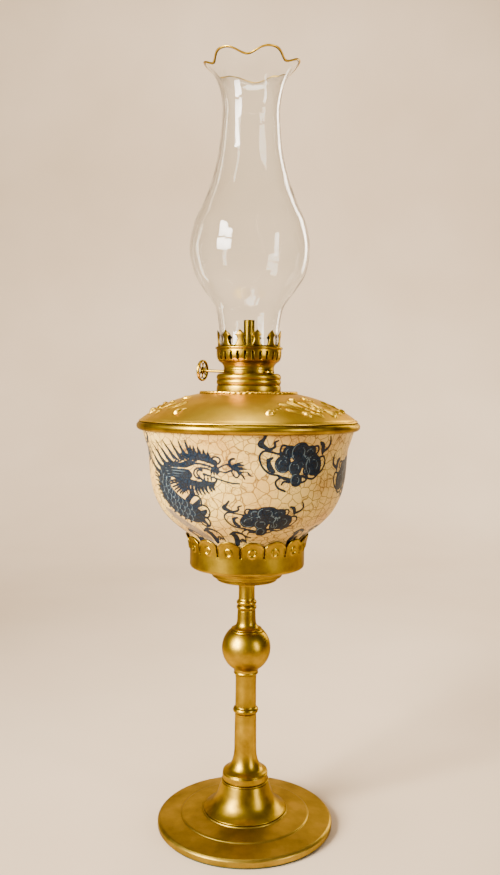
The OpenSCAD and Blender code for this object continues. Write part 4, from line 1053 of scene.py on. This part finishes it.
left_spray = [
    [(34.6, 66.4, 0.5), (32.6, 68.2, 1.0), (30.8, 70.6, 2.2), (30.2, 71.8, 1.8)],
    [(15.2, 67.2, 0.6), (20.2, 63.8, 1.0), (26.0, 58.8, 1.2)],
    [(17.0, 68.0, 0.5), (22.4, 64.6, 0.8), (26.4, 60.8, 0.7)],
    [(5.0, 68.4, 0.8), (9.0, 64.0, 1.0), (12.6, 60.2, 0.8)],
    [(3.4, 66.8, 0.6), (7.0, 62.8, 0.9), (11.0, 58.6, 0.7)],
    [(11.2, 51.4, 1.9), (13.0, 50.4, 1.7)], [(14.6, 49.6, 1.1), (16.6, 48.4, 0.5)],
    [(14.8, 55.4, 0.9), (16.8, 54.0, 0.6)],
    [(8.6, 69.4, 0.6), (9.4, 71.4, 1.3), (9.8, 73.6, 0.8)],
    [(-0.4, 70.4, 0.7), (-0.8, 72.6, 1.5), (-1.2, 74.6, 0.9)],
    [(0.6, 58.8, 1.3), (1.6, 58.0, 1.2)], [(-6.0, 62.4, 0.6), (-2.8, 65.4, 1.2), (1.6, 67.4, 1.3)],
    [(-12.6, 66.0, 0.7), (-8.0, 66.2, 1.3), (-3.6, 68.6, 0.9)],
    [(-15.0, 60.2, 0.6), (-10.6, 61.4, 1.1), (-7.0, 63.2, 0.7)],
    [(-17.8, 69.0, 0.8), (-15.6, 71.0, 1.9), (-15.0, 72.0, 1.5)], [(-20.6, 62.0, 1.6), (-20.0, 62.4, 1.6)],
]


def spray_height(a, r, strokes):
    """Height in mm of the highest stroke over each point (a, r): h = sqrt(w^2 - d^2) inside half-width w at
    distance d from a stroke's line, and 0 elsewhere."""
    height = np.zeros(a.shape)
    for stations in strokes:
        line = smooth_line(stations, 5)
        near = (a > line[:, 0].min() - 3) & (a < line[:, 0].max() + 3)
        away, width = away_from(np.stack([a, r], axis=-1)[near][:, None], line)
        height[near] = np.maximum(height[near], np.sqrt(np.maximum(width**2 - away**2, 0)).max(axis=1))
    return 1.1 * height


def spray_patch(bearing, strokes, across=(-41, 37), radii=(46.0, 77.5), step=0.42):
    """Points of one spray over the lid, with its foot 0.5 mm under the surface and both ends pinched."""
    a = np.arange(*across, step)
    r = np.arange(*radii, step)
    aa, rr = np.meshgrid(a, r)
    rise = spray_height(aa, rr, strokes) - 0.22
    foot = np.full((1, len(a)), -0.5)
    aa, rr = np.vstack([aa[:1], aa, aa[-1:]]), np.vstack([rr[:1], rr, rr[-1:]])
    rise = np.vstack([foot, rise, foot])
    slope = np.arctan(LID_RISE * DOME_POWER / LID_EDGE_R * (rr / LID_EDGE_R) ** (DOME_POWER - 1))
    out, up = rr + rise * np.sin(slope), lid_height(rr) + rise * np.cos(slope)
    turn = radians(bearing) + aa / SPRAY_R
    points = round_axis(out, turn, up)
    for end in (0, -1):
        points[:, end] = points[:, end].mean(axis=0) - [0, 0, 0.3]
    return points


for name, bearing, strokes, stands_for in (("spray_front_right", -45, right_spray, ["lid_relief"]),
                                           ("spray_front_left", -162, left_spray, []),
                                           ("spray_back_right", 47, left_spray, []),
                                           ("spray_back_left", 128, right_spray, [])):
    spray = grid_object(name, spray_patch(bearing, strokes), close_rows=True, solid=True)
    finish_piece(spray, "font_unit", "brass", lid_brass, *stands_for)

# %% [markdown]
# ## Burner
#
# The burner is thin pressed brass, and it gets hot, so it has darkened to a deep brownish gold with bright
# wear on its edges. The collar below it stays bright, because it is held each time the burner is unscrewed.

# %% Burner collar
thread_low, thread_top = levels("burner_collar")
THREAD_R = reach("burner_collar")
THREAD_BORE = 18.0
collar_side = smooth_line(np.vstack([
    above(thread_low, (-0.1, 0), (-0.1, 3.4), (-0.35, 4.4), (-0.85, 5), (-0.4, 5.6), (0, 6.8), (-0.1, 8.2),
          (-0.6, 9), (-0.2, 9.7), (0, 10.7), (-0.3, 12), (-1.1, 13)),
    above(thread_top, (-2.6, -0.02), (-3.9, 0))]) + [THREAD_R, 0], 6)
recess = above(thread_top, (THREAD_R - 4.5, -0.3), (THREAD_R - 4.5, -2.2), (THREAD_BORE, -2.2),
               (THREAD_BORE, thread_low - thread_top))
burner_collar = closed_solid("burner_collar_rolled", revolved(np.vstack([collar_side, recess]), 224))
finish_piece(burner_collar, "font_unit", *satin, "burner_collar")

# %% Waist
body_low = levels("burner_body")[0]
basket_low, prong_top = levels("gallery")
waist_line = np.vstack([
    broken_corners(above(body_low, (17.7, 0), (19.2, 0), (19.3, 0.8), (18.75, 1.3), (18.75, 3.6), (18.9, 4.2),
                         (18.75, 4.6), (18.8, 5.6)), 0.3),
    smooth_line([*above(body_low, (18.9, 6), (19.2, 7), (20, 8.2)), [20.6, basket_low]], 5)])
waist_inner = (waist_line - [0.8, 0])[::-1]
waist = closed_solid("burner_waist", revolved(np.vstack([waist_line, waist_inner])))
finish_piece(waist, "burner", "old_brass", burner_brass, "burner_body")

# %% [markdown]
# ### Basket
#
# The basket's air slots are true holes. Round each slot lies a small net of points between the slot's own
# outline and a rectangle; the rectangles stand side by side and share their edges, and plain bands close the
# basket above and below. Everything is laid out flat, across and up, and then bent to the basket's curved
# side.

# %% Basket
SLOTS = 27
basket_pitch = 2 * pi / SLOTS
BASKET_R = 24.2
bead_level = basket_low + 11.0
side_line = smooth_line(above(basket_low, (20.6, 0), (21.4, 0.4), (22.5, 1.3), (23.4, 2.6), (24, 4.8),
                              (BASKET_R, 7.2),
                              (BASKET_R, 9.8)), 5)
half_pitch = BASKET_R * basket_pitch / 2
SLOT_HALF, SLOT_LOW, SLOT_HIGH = 0.98, basket_low + 2.9, basket_low + 7.6
FRAME_LOW, FRAME_HIGH = basket_low + 1.4, basket_low + 9.2


def slot_frames(count=5, up=8):
    """Matching points round a slot and round its rectangle, both anticlockwise from the lower left corner."""
    t, s = np.linspace(0, 1, 2 * count + 1)[:-1], np.linspace(0, 1, up + 1)[:-1]
    wide = FRAME_HIGH - FRAME_LOW
    bottom = np.stack([-half_pitch + 2 * half_pitch * t, np.full(len(t), FRAME_LOW)], axis=-1)
    right = np.stack([np.full(up, half_pitch), FRAME_LOW + wide * s], axis=-1)
    rectangle = np.vstack([bottom, right, bottom * [-1, 0] + [0, FRAME_HIGH],
                           right * [-1, -1] + [0, FRAME_LOW + FRAME_HIGH]])
    low_arc = arc_line((0, SLOT_LOW), SLOT_HALF, -180 + 20, -20, len(t))[:-1]
    rise = np.stack([np.full(up, SLOT_HALF), SLOT_LOW + (SLOT_HIGH - SLOT_LOW) * s], axis=-1)
    high_arc = arc_line((0, SLOT_HIGH), SLOT_HALF, 20, 160, len(t))[:-1]
    fall = np.stack([np.full(up, -SLOT_HALF), SLOT_HIGH - (SLOT_HIGH - SLOT_LOW) * s], axis=-1)
    return np.vstack([low_arc, rise, high_arc, fall]), rectangle


def bent(flat, turn, inset):
    """Bends points laid out as across and up to the basket's side, inset millimetres inside it."""
    r = np.interp(flat[..., 1], side_line[:, 1], side_line[:, 0]) - inset
    return round_axis(r, turn + flat[..., 0] / BASKET_R, flat[..., 1])


def joined_grids(grids):
    """Points and quads of several grids in one mesh. grids has pairs of points and whether their rows close;
    their columns always do."""
    starts = np.cumsum([0] + [points.shape[0] * points.shape[1] for points, closed in grids])
    quads = [grid_quads(*points.shape[:2], closed, True, first) for (points, closed),
             first in zip(grids, starts)]
    return np.vstack([points.reshape(-1, 3) for points, closed in grids]), np.vstack(quads)


slot_edge, slot_frame = slot_frames()
share = np.linspace(1, 0, 6)[:, None, None]
flat_net = slot_edge + (slot_frame - slot_edge) * share
BASKET_SHEET = 0.8
gallery_grids = []
for k in range(SLOTS):
    turn = -pi / 2 + basket_pitch * (k + 0.5)
    net = np.vstack([bent(flat_net, turn, 0), bent(flat_net[::-1], turn, BASKET_SHEET)])
    gallery_grids.append((net, False))
columns = slot_frame[:10, 0] / BASKET_R
column_angle = (-pi / 2 + basket_pitch * (np.arange(SLOTS) + 0.5)[:, None] + columns).ravel()
low_side = side_line[side_line[:, 1] < FRAME_LOW - 0.05]
low_out = np.vstack([[[np.interp(FRAME_LOW, side_line[:, 1], side_line[:, 0]), FRAME_LOW]], low_side[::-1]])
low_band = np.vstack([low_out, (low_out - [BASKET_SHEET, 0])[::-1]])
top_out = [[np.interp(FRAME_HIGH, side_line[:, 1], side_line[:, 0]), FRAME_HIGH]]
CROWN_R, CROWN_SHEET = 22.75, 0.7
top_band = np.vstack([
    top_out, [[24.2, bead_level - 1.2], [24.3, bead_level - 0.85]],
    arc_line((24.2, bead_level), 0.95, -60, 90, 9),
    [[CROWN_R + CROWN_SHEET + 0.25, bead_level + 1.1], [CROWN_R + CROWN_SHEET, bead_level + 1.5],
     [CROWN_R + CROWN_SHEET / 2, bead_level + 1.6], [CROWN_R, bead_level + 1.5], [CROWN_R, bead_level + 0.2],
     [CROWN_R + 0.2, bead_level - 0.6], [24.2 - BASKET_SHEET, bead_level - 1.4]],
    np.array(top_out) - [BASKET_SHEET, 0]])
for band in (low_band, top_band):
    gallery_grids.append((round_axis(band[:, :1], column_angle, band[:, 1:]), False))

# %% [markdown]
# The prongs are cut from one strip, so each springs from the ring with a round fillet, narrows to a neck, and
# ends in an arrowhead. One prong is its half-width at each height; it leans out a little and is 0.7 mm thick.

# %% Prongs
PRONGS, PRONG_TURN = 12, radians(-1.0)
prong_height = prong_top - bead_level - 0.6
prong_shape = np.vstack([
    smooth_line([(0.0, 5.7), (0.5, 4.7), (1.3, 3.8), (2.5, 2.95), (4.0, 2.3), (5.6, 2.0), (7.0, 2.2),
                 (7.7, 3.0)], 4),
    broken_corners([(7.9, 3.4), (8.2, 3.85), (prong_height, 0.06)], 0.25)])
prong_up, prong_half = prong_shape.T
lean = CROWN_R + CROWN_SHEET + 0.9 * (prong_up / prong_height) ** 1.5
across = np.concatenate([np.linspace(-1, 1, 9), np.linspace(1, -1, 9)])
depth = np.repeat([0.0, 1.0], 9) * CROWN_SHEET + 0.12 * np.abs(across) ** 6 * np.repeat([1, -1], 9)
for k in range(PRONGS):
    turn = -pi / 2 + PRONG_TURN + 2 * pi / PRONGS * (k + 0.5)
    angle = turn + prong_half[:, None] * across / CROWN_R
    prong = round_axis(lean[:, None] - depth, angle, bead_level + 0.6 + prong_up[:, None])
    foot_cap, tip_cap = (np.repeat(prong[[end]].mean(axis=1, keepdims=True), 18, axis=1) for end in (0, -1))
    gallery_grids.append((np.concatenate([foot_cap, prong, tip_cap]), False))
gallery = mesh_object("gallery_pierced", *joined_grids(gallery_grids), solid=True)
finish_piece(gallery, "burner", "old_brass", burner_brass, "gallery")

# %% Wick tube
tube_low, tube_top = levels("wick_tube")
TUBE_R = reach("wick_tube")
tube_line = broken_corners([[TUBE_R - 0.6, tube_top], [TUBE_R - 0.55, tube_top], [TUBE_R, tube_top - 0.1],
                            [TUBE_R, tube_top - 3.0], [TUBE_R, tube_low + 0.4], [TUBE_R, tube_low],
                            [TUBE_R - 0.6, tube_low]], 0.3)
wick_tube = closed_solid("wick_tube_drawn", revolved(tube_line, 96))
finish_piece(wick_tube, "burner", *satin, "wick_tube")

# %% [markdown]
# ### Winder knob
#
# The knob is a small pressed wheel: a rounded rim, notched inside, six loops and a riveted hub. It is laid
# out flat about its own centre, and then turned so that its axis is the winder's.

# %% Winder knob
knob_low, knob_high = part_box("wick_knob")
knob_middle = np.array((knob_low + knob_high) / 2) / MM
KNOB_R = 8.1
knob_axis = np.array(next(joint["axis"] for joint in frame["joints"] if joint["name"] == "winder_turn"))
knob_axis /= np.linalg.norm(knob_axis)
knob_side = np.cross([0, 0, 1], knob_axis)
knob_side /= np.linalg.norm(knob_side)
knob_up = np.cross(knob_axis, knob_side)


def on_knob(x, y, z):
    """Points about the knob's centre: x and y in its plane, z along its axis."""
    return knob_middle + x[..., None] * knob_side + y[..., None] * knob_up + z[..., None] * knob_axis


turn, section = np.meshgrid(circle(144), circle(14))
notch = 0.32 * np.clip(-np.cos(section), 0, 1) * (0.5 + 0.5 * np.cos(18 * turn))
rim_rho = KNOB_R - 0.8 + 0.8 * np.sign(np.cos(section)) * np.abs(np.cos(section)) ** 0.8 + notch
rim_z = 1.05 * np.sign(np.sin(section)) * np.abs(np.sin(section)) ** 0.8
wheel = [(on_knob(rim_rho * np.cos(turn), rim_rho * np.sin(turn), rim_z), True)]
loop_turn, loop_section = np.meshgrid(circle(40), circle(8))
loop_rho = 2.15 + 0.42 * np.cos(loop_section)
for k in range(6):
    bearing = 2 * pi / 6 * k
    x = 4.45 + loop_rho * np.cos(loop_turn)
    y = 0.86 * loop_rho * np.sin(loop_turn)
    wheel.append((on_knob(x * cos(bearing) - y * sin(bearing), x * sin(bearing) + y * cos(bearing),
                           0.5 * np.sin(loop_section)), True))
hub_line = broken_corners([[0.01, 1.9], [1.0, 1.8], [1.3, 1.5], [2.1, 1.2], [2.1, -1.4], [1.05, -1.5]], 0.4)
hub_turn = circle(32)
hub_r, hub_z = hub_line[:, :1], hub_line[:, 1:]
wheel.append((on_knob(hub_r * np.cos(hub_turn), hub_r * np.sin(hub_turn), hub_z + 0 * hub_turn), False))
knob = mesh_object("winder_knob", *joined_grids(wheel), solid=True)
finish_piece(knob, "winder", *satin, "wick_knob")

# %% [markdown]
# ## Glass chimney
#
# The chimney was blown, and its lip was crimped into six waves while it was soft. Under the lip it is a lathe
# shape. Towards the lip the wave grows from nothing to its full 5 mm, with the high lobes pushed out and the
# low folds drawn in. A real wall matters: glass looks like glass because light bends once at each of its two
# surfaces. A trace of unevenness, a third of a millimetre over several centimetres, breaks up the reflections
# as blowing does.

# %% Chimney
glass_low, glass_top = levels("chimney")
GLASS = 1.5
CRIMPS, CRIMP_TURN = 6, radians(-96)
LIP_RISE = 1.15
length = glass_top - glass_low - LIP_RISE
LIP_FALL, LIP_PULL, LIP_FLARE = 4.9, 4.6, 1.5
chimney_stations = [(22.2, 0.0), (22.2, 0.035), (22.25, 0.07), (24.2, 0.13), (27.1, 0.163), (34.6, 0.212),
                    (41.5, 0.27),
                    (44.4, 0.355), (41.3, 0.44), (34.4, 0.516), (27.9, 0.605), (23.5, 0.705), (21.2, 0.82),
                    (22.1, 0.89), (25.0, 0.942), (28.9, 0.975), (33.5, 1.0)]
glass_line = smooth_line([(r, glass_low + share * length) for r, share in chimney_stations], 9)


def crimped(line):
    """Carries a line round and crimps it towards the lip. With s rising from 0 to 1 over the last 13% of the
    height and w = ((1 + cos 6a) / 2)^1.3, which is 1 in a fold, height falls by 4.9 s w and radius by 4.6
    s w."""
    angle = circle(288)
    r, h = line[:, :1], line[:, 1:]
    s = np.clip((h - glass_low - 0.87 * length) / (0.13 * length), 0, 1) ** 1.6
    fold = (np.cos(CRIMPS / 2 * (angle - CRIMP_TURN)) ** 2) ** 1.3
    uneven = (0.16 * np.sin(2 * angle + h / 17) + 0.12 * np.sin(3 * angle - h / 11 + 1)
              + 0.06 * np.sin(7 * angle + h / 5))
    body = np.clip((h - glass_low - 18) / 20, 0, 1) * np.clip((glass_top - 8 - h) / 20, 0, 1)
    radius = r + uneven * body - LIP_PULL * s * fold + LIP_FLARE * s
    return round_axis(radius, angle, h - LIP_FALL * s * fold)


along = np.gradient(glass_line, axis=0)
square = np.stack([-along[:, 1], along[:, 0]], axis=-1) / np.hypot(*along.T)[:, None]
inner_line = glass_line + GLASS * square
inner_line[0] = [glass_line[0, 0] - GLASS, glass_line[0, 1]]
outer_wall, inner_wall = crimped(glass_line), crimped(inner_line)
chimney = closed_solid("chimney_blown", np.concatenate([outer_wall, inner_wall[::-1]]))

# %% [markdown]
# Soda-lime glass has an index of about 1.5 and a faint grey-green tint, which shows only where one looks
# along the wall. 1.45 keeps the dark lines at its edges as thin as they are on a wall that was blown out this
# far. The gilt line on the lip is liquid gold that was painted on and fired, so it rides on the glass.

# %% Glass and gilding
glass, tree, shader, place = new_material("blown_soda_lime_glass", Roughness=0.0, IOR=1.45,
                                          Base_Color="#FDFEFC",
                                          Transmission_Weight=1.0)
ripple = add_node(tree, "TexNoise", Vector=place, Scale=per_mm(24), Detail=1)
set_inputs(shader, Normal=add_node(tree, "Bump", Height=ripple, Distance=1.4 * MM, Strength=0.3))
finish_piece(chimney, "chimney", "glass", glass, "chimney")
gilding = brass("fired_gilding", "#F8D048", "#E2B02C", "#94701C", 0.3)
lip_points = outer_wall[-1]
lip_along = np.roll(lip_points, -1, axis=0) - np.roll(lip_points, 1, axis=0)
lip_along /= np.linalg.norm(lip_along, axis=1)[:, None]
outward = lip_points * [1, 1, 0]
outward /= np.linalg.norm(outward, axis=1)[:, None]
upward = np.cross(outward, lip_along)
bead_turn = circle(12)[:, None, None]
GILT_WIDE, GILT_HIGH = 1.15, 0.69
wall_middle = (lip_points + inner_wall[-1]) / 2
gilt_points = wall_middle + (GILT_WIDE * np.cos(bead_turn) * outward + GILT_HIGH * np.sin(bead_turn) * upward)
gilt_points[..., 2] = np.minimum(gilt_points[..., 2], glass_top - 0.01)
gilt = closed_solid("gilt_edge", gilt_points)
finish_piece(gilt, "chimney", "brass", gilding)

# %% [markdown]
# ## Finishes for the pieces that keep their CAD shape
#
# The felt, the fasteners, the font and the winder's works are plain turned or cut pieces, mostly hidden. They
# keep their own meshes, and each gets the material that it is made of.

# %% Felt, steel, rubber, cotton and the hidden brass
def plain_finish(name, low, high, grain_mm, depth_mm, **surface):
    """A material of two colours in grains of grain_mm, with the same grain as a fine relief."""
    material, tree, shader, place = new_material(name, **surface)
    grain = add_node(tree, "TexNoise", Vector=place, Scale=per_mm(grain_mm), Detail=6, Roughness=0.65)
    share = add_node(tree, "ValToRGB", stops=[(0.35, 0.0), (0.65, 1.0)], Fac=grain)
    relief = add_node(tree, "Bump", Height=grain, Distance=depth_mm * MM, Strength=0.6)
    set_inputs(shader, Base_Color=add_node(tree, "Mix", MIX, in0=share, in6=low, in7=high), Normal=relief)
    return material


finishes = {
    "base_felt": plain_finish("pressed_wool_felt", "#2B3A24", "#3F5234", 0.8, 0.3, Roughness=0.95),
    "steel": plain_finish("zinc_plated_steel", "#8D9094", "#B6B9BC", 1.5, 0.02, Metallic=1.0, Roughness=0.38),
    "rubber": plain_finish("nitrile_rubber", "#17181A", "#26282B", 1.0, 0.05, Roughness=0.7),
    "wick": plain_finish("braided_cotton_wick", "#D8CBAE", "#F1E8D2", 0.7, 0.3, Roughness=0.9),
    "cork": plain_finish("waxed_felt_pad", "#7C5F3E", "#A18458", 1.2, 0.2, Roughness=0.9),
    "font": brass("unpolished_font_brass", "#BE9650", "#98733A", "#4B3418", 0.38)}
by_node = {"base_nut": "steel", "base_washer": "steel", "tie_rod": "steel", "bowl_gasket": "rubber",
           "burner_gasket": "rubber", "bowl_cushion": "cork", "font_cup": "font", "font_shoulder": "font",
           "base_felt": "base_felt", "wick": "wick"}
kept = {"bowl_washer": satin_brass, "bowl_nut": satin_brass, "spindle": satin_brass,
        "spindle_bush": burner_brass,
        "spindle_bracket": burner_brass, "spur_wheel": satin_brass, "burner_spigot": burner_brass,
        "burner_lug": burner_brass, "air_screen": burner_brass}
kept.update({node: finishes[kind] for node, kind in by_node.items()})
for node, material in kept.items():
    nodes[node].data.materials.clear()
    nodes[node].data.materials.append(material)
print("CAD nodes that keep their shape:", len(kept))
